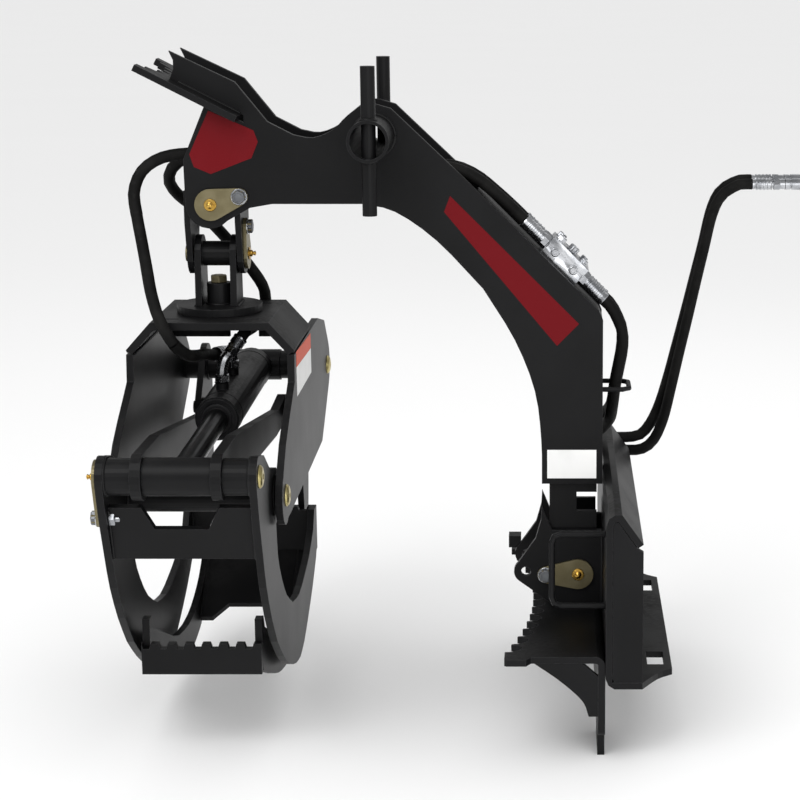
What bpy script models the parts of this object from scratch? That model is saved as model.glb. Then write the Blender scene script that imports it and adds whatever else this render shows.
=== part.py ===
"""A log grapple for a compact loader: quick-attach mount, gooseneck boom, swinging head and two crossing jaws.

Metres, +Z up. The origin is the middle of the mount's rear face. -X runs out along the boom, Y across the mount.
"""

import math

import bmesh
import bpy
from mathutils import Matrix, Vector

# Clearances
SEAT = 0.0003
RUNNING = 0.0004

# Quick-attach mount
MOUNT_HALF_WIDTH = 0.305
FACE_THICKNESS = 0.010
FACE_TOP = 0.136
FACE_BOTTOM = -0.133
LIP_APEX_X = 0.0133
REAR_REACH = 0.045
LIP_DROP = 0.045
END_PLATE = 0.010
LOWER_LIP_REACH = 0.093
LOWER_LIP_HALF_WIDTH = 0.238
LOWER_LIP_THICKNESS = 0.010
LOCK_SLOT_LENGTH = 0.060
LOCK_SLOT_WIDTH = 0.026
LOCK_SLOT_SPACING = 0.380
SHELF_TOP = -0.084
SHELF_THICKNESS = 0.010
SHELF_HALF_WIDTH = 0.301
SHELF_REACH = 0.1205
SHELF_BOW = 0.0475
SCALLOPS = 15
SCALLOP_PITCH = 0.0373
SCALLOP_HALF = 0.0165
SCALLOP_DEPTH = 0.0205
CORNER_OUTER = 0.3145
CORNER_TIP_X = -0.161
CORNER_STEP_X = -0.1285
CORNER_ROOT_X = -0.1213
LEG_THICKNESS = 0.0108
LEG_EDGE = -0.2096
LEG_CORNER = 0.010
FOOT_BOTTOM = -0.2535
FOOT_INNER = 0.165
FOOT_OUTER = 0.262
BEND_OUTER = 0.015
GUSSET_THICKNESS = 0.010
GUSSET_INSET = 0.001
GUSSET_CLIP = 0.024
GUSSET_BOTTOM = -0.178

# Boom
BOOM_PLATE = 0.010
BOOM_HALF_WIDTH = 0.056
PILLAR_BACK = -0.0103
PILLAR_WIDTH = 0.0957
PILLAR_FOOT = 0.120
HEAD_X = -0.6155
BOOM_PIN_Z = 0.563
NOSE_RADIUS = 0.037
WEB_THICKNESS = 0.008
TUBE_X = -0.3627
TUBE_Z = 0.669
TUBE_RADIUS = 0.03175
TUBE_WALL = 0.0048
TUBE_HALF_LENGTH = 0.167
ROD_RADIUS = 0.011
ROD_OFFSET = 0.147
ROD_TOP = 0.779
ROD_BOTTOM = 0.557
HORN_PITCH = math.radians(27.0)
HORN_THICKNESS = 0.010
HORN_HALF_WIDTH = 0.100
HORN_CORNER_X = -0.619
HORN_CORNER_Z = 0.718
HORN_REACH = 0.114
HORN_TAIL = 0.056
HORN_TEETH = 5

# Pins and their keeper plates
PIN_RADIUS = 0.0127
FLAG_THICKNESS = 0.005
FLAG_RADIUS = 0.0245
FLAG_TOE_RADIUS = 0.0132
PIN_STUB = 0.010
BOLT_RADIUS = 0.0062
BOLT_HEAD = 0.0075
HEAD_CAP = 0.006
HEAD_CAP_RADIUS = 0.0105
FITTING_RADIUS = 0.0045
FITTING_HEIGHT = 0.007

# Boom foot
EAR_THICKNESS = 0.010
EAR_TOP = 0.044
FOOT_PIN_X = -0.0485
FOOT_PIN_Z = -0.028
LOBE_X = -0.1317
LOBE_Z = -0.0245
LOBE_RADIUS = 0.019
LOBE_HOLE = 0.0077
FOOT_PLATE = 0.009
FOOT_PLATE_RISE = 0.170
GUARD_BAR = 0.005
GUARD_INSET = 0.055
GUARD_Y = GUARD_INSET - MOUNT_HALF_WIDTH
GUARD_REACH = 0.080
GUARD_TOP = 0.092
GUARD_BOTTOM = -0.020
RETAINER_BAR = 0.004
RETAINER_REACH = 0.042
RETAINER_Z = 0.268
RETAINER_HALF_WIDTH = 0.034

# Swinging head
LINK_HALF_WIDTH = 0.0435
LINK_THICKNESS = 0.009
SWING_TUBE_RADIUS = 0.0350
CROSS_PIN_Z = 0.480
LINK_END_RADIUS = 0.032
EAR_HALF_WIDTH = 0.0325
CLEVIS_PLATE = 0.010
CLEVIS_BOSS_RADIUS = 0.0195
CLEVIS_END_RADIUS = 0.030
DISC_RADIUS = 0.067
STRAP_TOP = 0.388
DISC_THICKNESS = 0.012
DISC_TOP = STRAP_TOP + RUNNING + DISC_THICKNESS
HOUSING_TOP = 0.434
HOUSING_RADIUS = 0.0190
SWIVEL_RADIUS = 0.0095
SWIVEL_NUT_RADIUS = 0.0120
SWIVEL_NUT_HEIGHT = 0.011
LOWER_NUT_RADIUS = 0.0220
LOWER_NUT_HEIGHT = 0.013

# Grapple frame
STRAP_THICKNESS = 0.012
STRAP_FLAT_HALF = 0.091
STRAP_HALF_DEPTH = 0.110
FRAME_OUTER = 0.1295
FRAME_PLATE = 0.011
FRAME_SHOULDER = 0.345

# Jaw pivots in the grapple's Y-Z plane
ROD_PIN_Y = -0.411
ROD_PIN_Z = 0.221
NEAR_PIVOT_Y = -0.250
NEAR_PIVOT_Z = 0.152
FAR_PIVOT_Y = 0.350
FAR_PIVOT_Z = 0.233
SYNC_PIN_Y = 0.284
SYNC_PIN_Z = 0.171
NEAR_OUTER = 0.1134
NEAR_PLATE = 0.011
FAR_OUTER = 0.0900
FAR_PLATE = 0.011
SYNC_OUTER = 0.0640
SYNC_PLATE = 0.0152
JAW_PIN_RADIUS = 0.0150
ROD_PIN_RADIUS = 0.0127
HUB_RADIUS = 0.030
NEAR_TUBE_RADIUS = 0.0245
CROSS_PLATE = 0.010
TIP_BAR = 0.012
NEAR_TIP_Y = 0.2620
FAR_TIP_Y = -0.2685
TIP_TEETH = 7
TIP_TOOTH = 0.008

# Cylinder
BARREL_RADIUS = 0.035
BARREL_WALL = 0.006
BARREL_LENGTH = 0.412
BASE_TUBE_RADIUS = 0.0270
BASE_TUBE_HALF = 0.0486
ROD_BAR_RADIUS = 0.0175
ROD_EYE_RADIUS = 0.0270
ROD_EYE_BORE = 0.0215
SYNC_BOSS_RADIUS = 0.0160
PISTON_LENGTH = 0.040
GLAND_LENGTH = 0.030
PISTON_TO_GLAND = 0.042
PISTON_PLACE = BARREL_LENGTH - GLAND_LENGTH - PISTON_TO_GLAND - PISTON_LENGTH
PORT_RADIUS = 0.0100
PORT_HEIGHT = 0.010
HEAD_PORT_Y = 0.000
BASE_PORT_Y = 0.110
ELBOW_RADIUS = 0.0085
ELBOW_RISE = 0.030
ELBOW_REACH = 0.048
HEAD_OUTLET = (0.52, 0.40, 0.70)
BASE_OUTLET = (-0.35, -0.93, 0.05)

# Valve and hoses
HOSE_RADIUS = 0.0095
HOSE_STEP = 0.040
VALVE_LENGTH = 0.075
VALVE_WIDTH = 0.066
VALVE_HEIGHT = 0.034
VALVE_ALONG = 0.173
FERRULE_RADIUS = 0.0110
FERRULE_LENGTH = 0.055
PORT_SPACING = 0.017
COUPLER_RADIUS = 0.0105
COUPLER_LENGTH = 0.095

# Finishes: name, colour, roughness, metallic
BLACK_PAINT = ("black_paint", (0.018, 0.018, 0.019), 0.42, 0.0)
ZINC = ("bright_zinc", (0.75, 0.76, 0.78), 0.25, 1.0)
YELLOW_ZINC = ("yellow_zinc", (0.62, 0.55, 0.36), 0.35, 0.9)
CHROME = ("hard_chrome", (0.55, 0.56, 0.58), 0.12, 1.0)
HOSE_RUBBER = ("hose_rubber", (0.015, 0.015, 0.015), 0.70, 0.0)

ROUND = 28


def clear_scene():
    for old in list(bpy.data.objects):
        bpy.data.objects.remove(old, do_unlink=True)


def finish_material(finish):
    name, colour, roughness, metallic = finish
    found = bpy.data.materials.get(name)
    if found:
        return found
    made = bpy.data.materials.new(name)
    made.use_nodes = True
    shader = made.node_tree.nodes["Principled BSDF"]
    shader.inputs["Base Color"].default_value = (*colour, 1.0)
    shader.inputs["Roughness"].default_value = roughness
    shader.inputs["Metallic"].default_value = metallic
    return made


def joint_empty(name, place, parent=None):
    """An empty on a joint's axis, which the pieces of one moving body hang from."""
    empty = bpy.data.objects.new(name, None)
    bpy.context.collection.objects.link(empty)
    empty.location = place
    if parent:
        empty.parent = parent
        empty.location = Vector(place) - parent.matrix_world.translation
    bpy.context.view_layer.update()
    return empty


def publish(name, body, bm, finish):
    """Turn a mesh built in world coordinates into an object whose origin is on its body's axis."""
    bmesh.ops.recalc_face_normals(bm, faces=bm.faces)
    origin = body.matrix_world.translation
    bmesh.ops.translate(bm, vec=-origin, verts=bm.verts)
    mesh = bpy.data.meshes.new(name)
    bm.to_mesh(mesh)
    bm.free()
    mesh.materials.append(finish_material(finish))
    mesh.shade_smooth()
    mesh.set_sharp_from_angle(angle=math.radians(35))
    made = bpy.data.objects.new(name, mesh)
    bpy.context.collection.objects.link(made)
    made.parent = body
    return made


def combine(target, name, bm, operation):
    """Cut a closed mesh from a piece, or join it on, with a Boolean."""
    tool = publish(name, target.parent, bm, BLACK_PAINT)
    tool.hide_render = True
    tool.display_type = "WIRE"
    step = target.modifiers.new(name, "BOOLEAN")
    step.operation = operation
    step.solver = "EXACT"
    step.object = tool


def cut(target, name, bm):
    combine(target, name, bm, "DIFFERENCE")


def join(target, name, bm):
    combine(target, name, bm, "UNION")


def in_plane(plane, a, b, depth):
    """A point from two coordinates in a plane and one across it."""
    if plane == "XZ":
        return (a, depth, b)
    if plane == "YZ":
        return (depth, a, b)
    return (a, b, depth)


def flat_plate(plane, low, high, outline, holes=()):
    """A plate between two depths across a plane, with its holes left open."""
    bm = bmesh.new()
    edges = []
    for loop in [outline, *holes]:
        ring = [bm.verts.new(in_plane(plane, a, b, low)) for a, b in loop]
        edges += [bm.edges.new((ring[i - 1], ring[i])) for i in range(len(ring))]
    bmesh.ops.triangle_fill(bm, use_beauty=True, edges=edges)
    grown = bmesh.ops.extrude_face_region(bm, geom=bm.faces[:])
    moved = [part for part in grown["geom"] if isinstance(part, bmesh.types.BMVert)]
    bmesh.ops.translate(bm, vec=in_plane(plane, 0.0, 0.0, high - low), verts=moved)
    return bm


def plate_pair(body, stem, plane, outer, thickness, outline, holes=()):
    """Two like plates, one each side of the middle plane, as two pieces."""
    middle, words = (HEAD_X, ("left", "right")) if plane == "YZ" else (0.0, ("near", "far"))
    made = []
    for word, side in zip(words, (-1, 1)):
        faces = sorted((middle + side * outer, middle + side * (outer - thickness)))
        made.append(publish(f"{stem}_{word}", body, flat_plate(plane, *faces, outline, holes), BLACK_PAINT))
    return made


def circle(a, b, radius, count=20):
    steps = [2 * math.pi * i / count for i in range(count)]
    return [(a + radius * math.cos(t), b + radius * math.sin(t)) for t in steps]


def arc(a, b, radius, start, end, count=6):
    """Points on an arc, from one angle in degrees to another."""
    turns = [math.radians(start + (end - start) * i / count) for i in range(count + 1)]
    return [(a + radius * math.cos(t), b + radius * math.sin(t)) for t in turns]


def through(points, count=4):
    """A smooth open curve through points, by Catmull-Rom."""
    spots = [Vector(p) for p in points]
    spots = [2 * spots[0] - spots[1], *spots, 2 * spots[-1] - spots[-2]]
    curve = []
    for a, b, c, d in zip(spots, spots[1:], spots[2:], spots[3:]):
        for step in range(count):
            t = step / count
            curve.append(
                0.5 * ((2 * b) + (c - a) * t + (2 * a - 5 * b + 4 * c - d) * t**2 + (3 * b - a - 3 * c + d) * t**3)
            )
    curve.append(spots[-2])
    return curve


def smooth(points, count=3):
    """The same for an outline's two coordinates."""
    return [tuple(p) for p in through(points, count)]


def turned(profile, centre, axis, count=ROUND):
    """A closed solid turned about an axis, from (radius, distance) points."""
    bm = bmesh.new()
    turn = Vector((0, 0, 1)).rotation_difference(Vector(axis)).to_matrix()
    rings = []
    for radius, along in profile:
        if radius == 0.0:
            rings.append([bm.verts.new(Vector(centre) + turn @ Vector((0, 0, along)))])
            continue
        ring = []
        for i in range(count):
            t = 2 * math.pi * i / count
            spot = Vector((radius * math.cos(t), radius * math.sin(t), along))
            ring.append(bm.verts.new(Vector(centre) + turn @ spot))
        rings.append(ring)
    closed = profile[0][0] != 0.0
    pairs = list(zip(rings, rings[1:]))
    if closed:
        pairs.append((rings[-1], rings[0]))
    for lower, upper in pairs:
        for i in range(count):
            quad = [lower[i % len(lower)], lower[(i + 1) % len(lower)]]
            quad += [upper[(i + 1) % len(upper)], upper[i % len(upper)]]
            bm.faces.new(list(dict.fromkeys(quad)))
    return bm


def pipe(start, end, outer, inner, count=ROUND):
    """A tube, or a bar where the inner radius is 0."""
    start = Vector(start)
    along = Vector(end) - start
    length = along.length
    if inner:
        profile = [(inner, 0.0), (outer, 0.0), (outer, length), (inner, length)]
    else:
        profile = [(0.0, 0.0), (outer, 0.0), (outer, length), (0.0, length)]
    return turned(profile, start, along.normalized(), count)


def merge(*meshes):
    """Several closed meshes in one bmesh, as separate solids."""
    whole = bmesh.new()
    for bm in meshes:
        scrap = bpy.data.meshes.new("scrap")
        bm.to_mesh(scrap)
        bm.free()
        whole.from_mesh(scrap)
        bpy.data.meshes.remove(scrap)
    return whole


def block(low, high):
    bm = bmesh.new()
    bmesh.ops.create_cube(bm, size=1.0)
    size = [h - l for l, h in zip(low, high)]
    middle = [(h + l) / 2 for l, h in zip(low, high)]
    bmesh.ops.scale(bm, vec=size, verts=bm.verts)
    bmesh.ops.translate(bm, vec=middle, verts=bm.verts)
    return bm


def bent_bar(points, radius):
    """A round bar swept along a smooth path, closed at both ends."""
    bm = bmesh.new()
    sides = 10
    rings = []
    for i, point in enumerate(points):
        before = points[max(i - 1, 0)]
        after = points[min(i + 1, len(points) - 1)]
        along = (Vector(after) - Vector(before)).normalized()
        side = along.orthogonal() if i == 0 else (side - side.dot(along) * along)
        side.normalize()
        up = along.cross(side)
        ring = []
        for k in range(sides):
            t = 2 * math.pi * k / sides
            ring.append(bm.verts.new(Vector(point) + radius * (math.cos(t) * side + math.sin(t) * up)))
        rings.append(ring)
    for lower, upper in zip(rings, rings[1:]):
        for k in range(sides):
            bm.faces.new([lower[k], lower[(k + 1) % sides], upper[(k + 1) % sides], upper[k]])
    bm.faces.new(rings[0])
    bm.faces.new(rings[-1])
    return bm


def keeper_outline(a, b, toe_a, toe_b):
    """A teardrop keeper plate round a pin at (a, b), with its toe at (toe_a, toe_b)."""
    turn = math.degrees(math.atan2(toe_b - b, toe_a - a))
    return arc(a, b, FLAG_RADIUS, turn + 75, turn + 285, 14) + arc(toe_a, toe_b, FLAG_TOE_RADIUS, turn - 75, turn + 75, 8)


# Mount
def face_plate(root):
    t = FACE_THICKNESS
    outer = [(-t, FACE_BOTTOM + 0.016), (-t, FACE_TOP - 0.018), (-t * 0.6, FACE_TOP - 0.006), (0.0035, FACE_TOP)]
    outer += [(LIP_APEX_X, FACE_TOP), (REAR_REACH, FACE_TOP - LIP_DROP)]
    inner = [(REAR_REACH - 0.0082, FACE_TOP - LIP_DROP - 0.0058), (LIP_APEX_X - 0.0048, FACE_TOP - 0.0106)]
    inner += [(0.0035, FACE_TOP - 0.0106), (0.0, FACE_TOP - 0.018), (0.0, FACE_BOTTOM + 0.016)]
    inner += [(0.004, FACE_BOTTOM + LOWER_LIP_THICKNESS), (0.010, FACE_BOTTOM + LOWER_LIP_THICKNESS)]
    inner += [(0.010, FACE_BOTTOM), (0.003, FACE_BOTTOM), (-t * 0.6, FACE_BOTTOM + 0.006)]
    bm = flat_plate("XZ", -MOUNT_HALF_WIDTH, MOUNT_HALF_WIDTH, outer + inner)
    made = publish("face_plate", root, bm, BLACK_PAINT)
    join(made, "join_lower_lip", lower_lip())
    cut(made, "cut_end_seats", end_seats())


def end_seats():
    """Shallow seats under the end plates, so that the flat rear face ends inside them."""
    low = FACE_BOTTOM + LOWER_LIP_THICKNESS + SEAT
    inner = MOUNT_HALF_WIDTH - END_PLATE - SEAT
    high = FACE_TOP - 0.018
    near = block((-SEAT, -MOUNT_HALF_WIDTH - 0.001, low), (0.002, -inner, high))
    return merge(near, block((-SEAT, inner, low), (0.002, MOUNT_HALF_WIDTH + 0.001, high)))


def end_plates(root):
    low = FACE_BOTTOM + LOWER_LIP_THICKNESS + SEAT
    outline = [(SEAT, low + 0.006), (0.004 + SEAT, low), (REAR_REACH, low), (REAR_REACH, FACE_TOP - LIP_DROP - 0.012)]
    outline += [(REAR_REACH - 0.009, FACE_TOP - LIP_DROP - 0.0068), (LIP_APEX_X - 0.0055, FACE_TOP - 0.0116)]
    outline += [(0.0042, FACE_TOP - 0.0116), (SEAT, FACE_TOP - 0.019)]
    plate_pair(root, "end_plate", "XZ", MOUNT_HALF_WIDTH, END_PLATE, outline)


def lower_lip():
    """The lip that the loader's lock pins go through."""
    front = 0.008
    half = MOUNT_HALF_WIDTH
    corner = smooth([(LOWER_LIP_REACH, LOWER_LIP_HALF_WIDTH), (0.070, LOWER_LIP_HALF_WIDTH + 0.022), (REAR_REACH, half)])
    outline = [(front, -half), (front, half), *reversed(corner), *[(x, -y) for x, y in corner]]
    middle = (REAR_REACH + LOWER_LIP_REACH) / 2
    slots = []
    for side in (-1, 1):
        y = side * LOCK_SLOT_SPACING / 2
        long = LOCK_SLOT_LENGTH / 2
        wide = LOCK_SLOT_WIDTH / 2
        slots.append([(middle - wide, y - long), (middle + wide, y - long), (middle + wide, y + long), (middle - wide, y + long)])
    return flat_plate("XY", FACE_BOTTOM, FACE_BOTTOM + LOWER_LIP_THICKNESS, outline, slots)


def toothed_shelf(root):
    """The log shelf: a plate with scallops along its bowed front edge, bent down at the back into the leg."""
    def edge(y):
        return -SHELF_REACH - SHELF_BOW * (y / SHELF_HALF_WIDTH) ** 2

    bend = PILLAR_BACK - BEND_OUTER + 0.002
    corner = [(bend, SHELF_HALF_WIDTH), (CORNER_ROOT_X, SHELF_HALF_WIDTH), (CORNER_STEP_X, CORNER_OUTER)]
    corner += [(CORNER_TIP_X + 0.003, CORNER_OUTER), (CORNER_TIP_X, CORNER_OUTER - 0.003)]
    outline = list(corner)
    first = SCALLOP_PITCH * (SCALLOPS // 2)
    outline.append((CORNER_TIP_X, first + SCALLOP_HALF + 0.003))
    for i in range(SCALLOPS):
        middle = first - i * SCALLOP_PITCH
        for step in range(9):
            turn = math.pi * step / 8
            y = middle + SCALLOP_HALF * math.cos(turn)
            outline.append((edge(y) + SCALLOP_DEPTH * math.sin(turn), y))
    outline.append((CORNER_TIP_X, -first - SCALLOP_HALF - 0.003))
    outline += [(x, -y) for x, y in reversed(corner)]
    bm = flat_plate("XY", SHELF_TOP - SHELF_THICKNESS, SHELF_TOP, outline)
    made = publish("toothed_shelf", root, bm, BLACK_PAINT)
    join(made, "join_shelf_bend", shelf_bend())
    join(made, "join_ground_leg", ground_leg())
    join(made, "join_leg_gussets", leg_gussets())


def shelf_bend():
    """The rounded corner where the shelf turns down into the leg."""
    middle = (PILLAR_BACK - BEND_OUTER, SHELF_TOP - BEND_OUTER)
    outer = arc(*middle, BEND_OUTER, 90, 0, 6)
    inner = arc(*middle, BEND_OUTER - SHELF_THICKNESS, 0, 90, 4)
    outline = [(middle[0] - 0.002, SHELF_TOP), *outer, (PILLAR_BACK, middle[1] - 0.002)]
    outline += [(PILLAR_BACK - LEG_THICKNESS, middle[1] - 0.002), *inner, (middle[0] - 0.002, SHELF_TOP - SHELF_THICKNESS)]
    return flat_plate("XZ", -SHELF_HALF_WIDTH, SHELF_HALF_WIDTH, outline)


def ground_leg():
    """The leg that the tool stands on: a plate with rounded lower corners and a foot under each end."""
    top = SHELF_TOP - BEND_OUTER
    half = SHELF_HALF_WIDTH
    outline = [(-half, top), *arc(-half + LEG_CORNER, LEG_EDGE + LEG_CORNER, LEG_CORNER, 180, 270, 4)]
    outline += [(-FOOT_OUTER, LEG_EDGE), (-FOOT_OUTER, FOOT_BOTTOM), (-FOOT_INNER, FOOT_BOTTOM)]
    outline += [(-FOOT_INNER + 0.012, LEG_EDGE)]
    outline += [(-y, z) for y, z in reversed(outline)]
    back = PILLAR_BACK
    return flat_plate("YZ", back - LEG_THICKNESS, back, outline)


def leg_gussets():
    top = SHELF_TOP - SHELF_THICKNESS + 0.003
    back = PILLAR_BACK - LEG_THICKNESS / 2
    curve = smooth([(CORNER_ROOT_X, top), (-0.0780, top - 0.031), (-0.0450, top - 0.062), (-0.0350, GUSSET_BOTTOM)], 5)
    face = PILLAR_BACK - LEG_THICKNESS
    clip = [(back, GUSSET_BOTTOM), (back, top - GUSSET_CLIP - 0.003), (face, top - GUSSET_CLIP), (face - GUSSET_CLIP, top - 0.003)]
    outline = [*curve, *clip, (face - GUSSET_CLIP - 0.002, top)]
    low = SHELF_HALF_WIDTH - GUSSET_INSET - GUSSET_THICKNESS
    near = flat_plate("XZ", -low - GUSSET_THICKNESS, -low, outline)
    return merge(near, flat_plate("XZ", low, low + GUSSET_THICKNESS, outline))


# Boom
def foot_ears(root):
    back = PILLAR_BACK
    base = SHELF_TOP + SEAT
    outline = [(back, EAR_TOP), (back, base), (-0.083, base)]
    outline += arc(LOBE_X, LOBE_Z, LOBE_RADIUS, 236, 130, 8)
    outline += [(-0.116, 0.030), (-0.1075, 0.060), (-0.106, 0.083), (-0.090, EAR_TOP)]
    holes = [circle(FOOT_PIN_X, FOOT_PIN_Z, PIN_RADIUS + RUNNING), circle(LOBE_X, LOBE_Z, LOBE_HOLE, 16)]
    ears = plate_pair(root, "foot_ear", "XZ", BOOM_HALF_WIDTH, EAR_THICKNESS, outline, holes)
    low = (-0.161, BOOM_HALF_WIDTH - EAR_THICKNESS / 2, -0.0155)
    join(ears[1], "join_stop_block", block(low, (-0.141, BOOM_HALF_WIDTH + 0.022, 0.004)))


def foot_plates(root):
    """The two plates inside the boom's foot, which carry it on the pin between the ears."""
    outer = BOOM_HALF_WIDTH - BOOM_PLATE - SEAT
    back = PILLAR_BACK - WEB_THICKNESS - 2 * SEAT
    front = PILLAR_BACK - PILLAR_WIDTH + WEB_THICKNESS + 0.004
    top = PILLAR_FOOT + FOOT_PLATE_RISE
    outline = [(back, top), (back, 0.104), (back - 0.032, 0.104), (back - 0.032, 0.073), (back, 0.073)]
    outline += [(back, -0.045), (-0.035, -0.062), (-0.062, -0.062), (front, -0.036), (front, top)]
    hole = circle(FOOT_PIN_X, FOOT_PIN_Z, PIN_RADIUS + RUNNING)
    plate_pair(root, "foot_plate", "XZ", outer, FOOT_PLATE, outline, [hole])


def boom_outline():
    """The gooseneck from the horn's tip over the tube to the foot and back along the inner curve."""
    low_slope = math.tan(HORN_PITCH)
    slot = HORN_THICKNESS / math.cos(HORN_PITCH) + 2 * SEAT
    tail = HORN_CORNER_X + HORN_TAIL + 0.002
    lip_x = -0.671
    corner = (HORN_CORNER_X, HORN_CORNER_Z - SEAT)
    slot_low = (tail, corner[1] - low_slope * (tail - corner[0]))
    slot_high = (tail, slot_low[1] + slot)
    slot_left = (lip_x, corner[1] - low_slope * (lip_x - corner[0]) + slot)
    foot_front = PILLAR_BACK - PILLAR_WIDTH
    horn = [slot_left, (-0.6655, 0.770), (-0.6655, 0.783), (-0.672, 0.797), (-0.573, 0.750), (-0.525, 0.690)]
    neck = smooth([(-0.486, 0.670), (-0.456, 0.6655), (-0.425, 0.678), (-0.402, 0.700), (-0.372, 0.718), (-0.336, 0.710)])
    back = [(-0.225, 0.604), (PILLAR_BACK - 0.006, 0.396), (PILLAR_BACK, 0.382), (PILLAR_BACK, PILLAR_FOOT)]
    inner = smooth([(foot_front, PILLAR_FOOT), (-0.107, 0.191), (-0.117, 0.270), (-0.148, 0.351), (-0.197, 0.432)])
    inner += smooth([(-0.197, 0.432), (-0.268, 0.507), (-0.332, 0.552), (-0.3825, 0.564)])[1:]
    nose = [(-0.521, 0.564), (-0.555, 0.558)]
    nose += arc(HEAD_X - 0.002, BOOM_PIN_Z, NOSE_RADIUS, 318, 180, 8)
    nose += [(-0.6555, 0.632), corner, slot_low, slot_high]
    return horn + neck + back + inner + nose


def boom_sides(root):
    holes = [circle(TUBE_X, TUBE_Z, TUBE_RADIUS + SEAT, ROUND), circle(HEAD_X, BOOM_PIN_Z, PIN_RADIUS + RUNNING)]
    plate_pair(root, "boom_side", "XZ", BOOM_HALF_WIDTH, BOOM_PLATE, boom_outline(), holes)


def strip_along(points, thickness, inward):
    """A closed strip of even thickness beside a line of points, on the side that inward says."""
    line = [Vector(p) for p in points]
    shifted = []
    for i, point in enumerate(line):
        along = (line[min(i + 1, len(line) - 1)] - line[max(i - 1, 0)]).normalized()
        shifted.append(point + inward * thickness * Vector((-along.y, along.x)))
    return [tuple(p) for p in line] + [tuple(p) for p in reversed(shifted)]


def boom_webs(root):
    """The plates that close the box between the boom's sides: one along the back, one along the belly."""
    half = BOOM_HALF_WIDTH - BOOM_PLATE - SEAT
    back = [(-0.205, 0.582), (PILLAR_BACK - 0.0065, 0.3925), (PILLAR_BACK, 0.377), (PILLAR_BACK, PILLAR_FOOT + 0.002)]
    bm = flat_plate("XZ", -half, half, strip_along(back, WEB_THICKNESS, -1.0))
    publish("boom_back_plate", root, bm, BLACK_PAINT)
    belly = smooth([(-0.105, 0.128), (-0.107, 0.191), (-0.117, 0.270), (-0.148, 0.351), (-0.197, 0.432)])
    belly += smooth([(-0.197, 0.432), (-0.268, 0.507), (-0.332, 0.552), (-0.3825, 0.564)])[1:]
    belly += [(-0.520, 0.564)]
    bm = flat_plate("XZ", -half, half, strip_along(belly, WEB_THICKNESS, -1.0))
    publish("boom_belly_plate", root, bm, BLACK_PAINT)


def cross_tube(root):
    ends = ((TUBE_X, -TUBE_HALF_LENGTH, TUBE_Z), (TUBE_X, TUBE_HALF_LENGTH, TUBE_Z))
    tube = publish("cross_tube", root, pipe(*ends, TUBE_RADIUS, TUBE_RADIUS - TUBE_WALL), BLACK_PAINT)
    rods = []
    for y in (-ROD_OFFSET, ROD_OFFSET):
        rods.append(pipe((TUBE_X, y, ROD_BOTTOM), (TUBE_X, y, ROD_TOP), ROD_RADIUS, 0.0, 20))
    join(tube, "join_guide_rods", merge(*rods))


def horn_plate(root):
    """The sloping serrated plate under the boom's horns: it passes through a slot in each side plate."""
    start = -HORN_REACH
    pitch = 2 * 0.078 / HORN_TEETH
    front = [(start, HORN_HALF_WIDTH), (start, 0.078)]
    for i in range(HORN_TEETH):
        top = 0.078 - i * pitch
        bow = 0.030 * (1 - ((top - pitch / 2) / 0.078) ** 2)
        front += [(start + bow + 0.014, top - 0.15 * pitch), (start + bow, top - 0.35 * pitch)]
        front += [(start + bow, top - 0.65 * pitch), (start + bow + 0.014, top - 0.85 * pitch)]
    front += [(start, -0.078), (start, -HORN_HALF_WIDTH)]
    outline = front + [(HORN_TAIL, -HORN_HALF_WIDTH), (HORN_TAIL, HORN_HALF_WIDTH)]
    bm = flat_plate("XY", 0.0, HORN_THICKNESS, outline)
    bmesh.ops.rotate(bm, cent=(0, 0, 0), matrix=Matrix.Rotation(HORN_PITCH, 3, "Y"), verts=bm.verts)
    bmesh.ops.translate(bm, vec=(HORN_CORNER_X, 0.0, HORN_CORNER_Z), verts=bm.verts)
    publish("horn_plate", root, bm, BLACK_PAINT)


def keeper(body, name, plane, place, toe, face, out, fitting=True):
    """A keeper plate over a pin's end, with its bolt's head and the pin's grease fitting on it."""
    faces = sorted((face, face + out * FLAG_THICKNESS))
    made = publish(name, body, flat_plate(plane, *faces, keeper_outline(*place, *toe)), YELLOW_ZINC)
    axis = Vector(in_plane(plane, 0.0, 0.0, out))
    rise = FLAG_THICKNESS + BOLT_HEAD
    head = [(0.0, FLAG_THICKNESS / 2), (BOLT_RADIUS * 1.7, FLAG_THICKNESS / 2), (BOLT_RADIUS * 1.7, rise), (0.0, rise)]
    parts = [turned(head, Vector(in_plane(plane, *toe, face)), axis, 6)]
    if fitting:
        seat = Vector(in_plane(plane, *place, face)) + axis * FLAG_THICKNESS / 2
        parts.append(grease_fitting(seat, axis, FLAG_THICKNESS / 2))
    join(made, f"join_{name}_bolt", merge(*parts))


def grease_fitting(centre, axis, sunk):
    neck = FITTING_RADIUS * 0.55
    profile = [(0.0, 0.0), (FITTING_RADIUS, 0.0), (FITTING_RADIUS, sunk + FITTING_HEIGHT * 0.4)]
    profile += [(neck, sunk + FITTING_HEIGHT * 0.55), (neck, sunk + FITTING_HEIGHT), (0.0, sunk + FITTING_HEIGHT)]
    return turned(profile, centre, axis, 12)


def boom_pins(root):
    out = BOOM_HALF_WIDTH + SEAT
    pins = (("boom_pin", HEAD_X, BOOM_PIN_Z, 0.0448, 0.0126), ("foot_pin", FOOT_PIN_X, FOOT_PIN_Z, -0.0515, -0.001))
    for name, x, z, toe_x, toe_z in pins:
        bar = pipe((x, -BOOM_HALF_WIDTH, z), (x, BOOM_HALF_WIDTH + PIN_STUB, z), PIN_RADIUS, 0.0)
        publish(name, root, bar, YELLOW_ZINC)
        keeper(root, f"{name}_keeper", "XZ", (x, z), (x + toe_x, z + toe_z), -out, -1)


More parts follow.
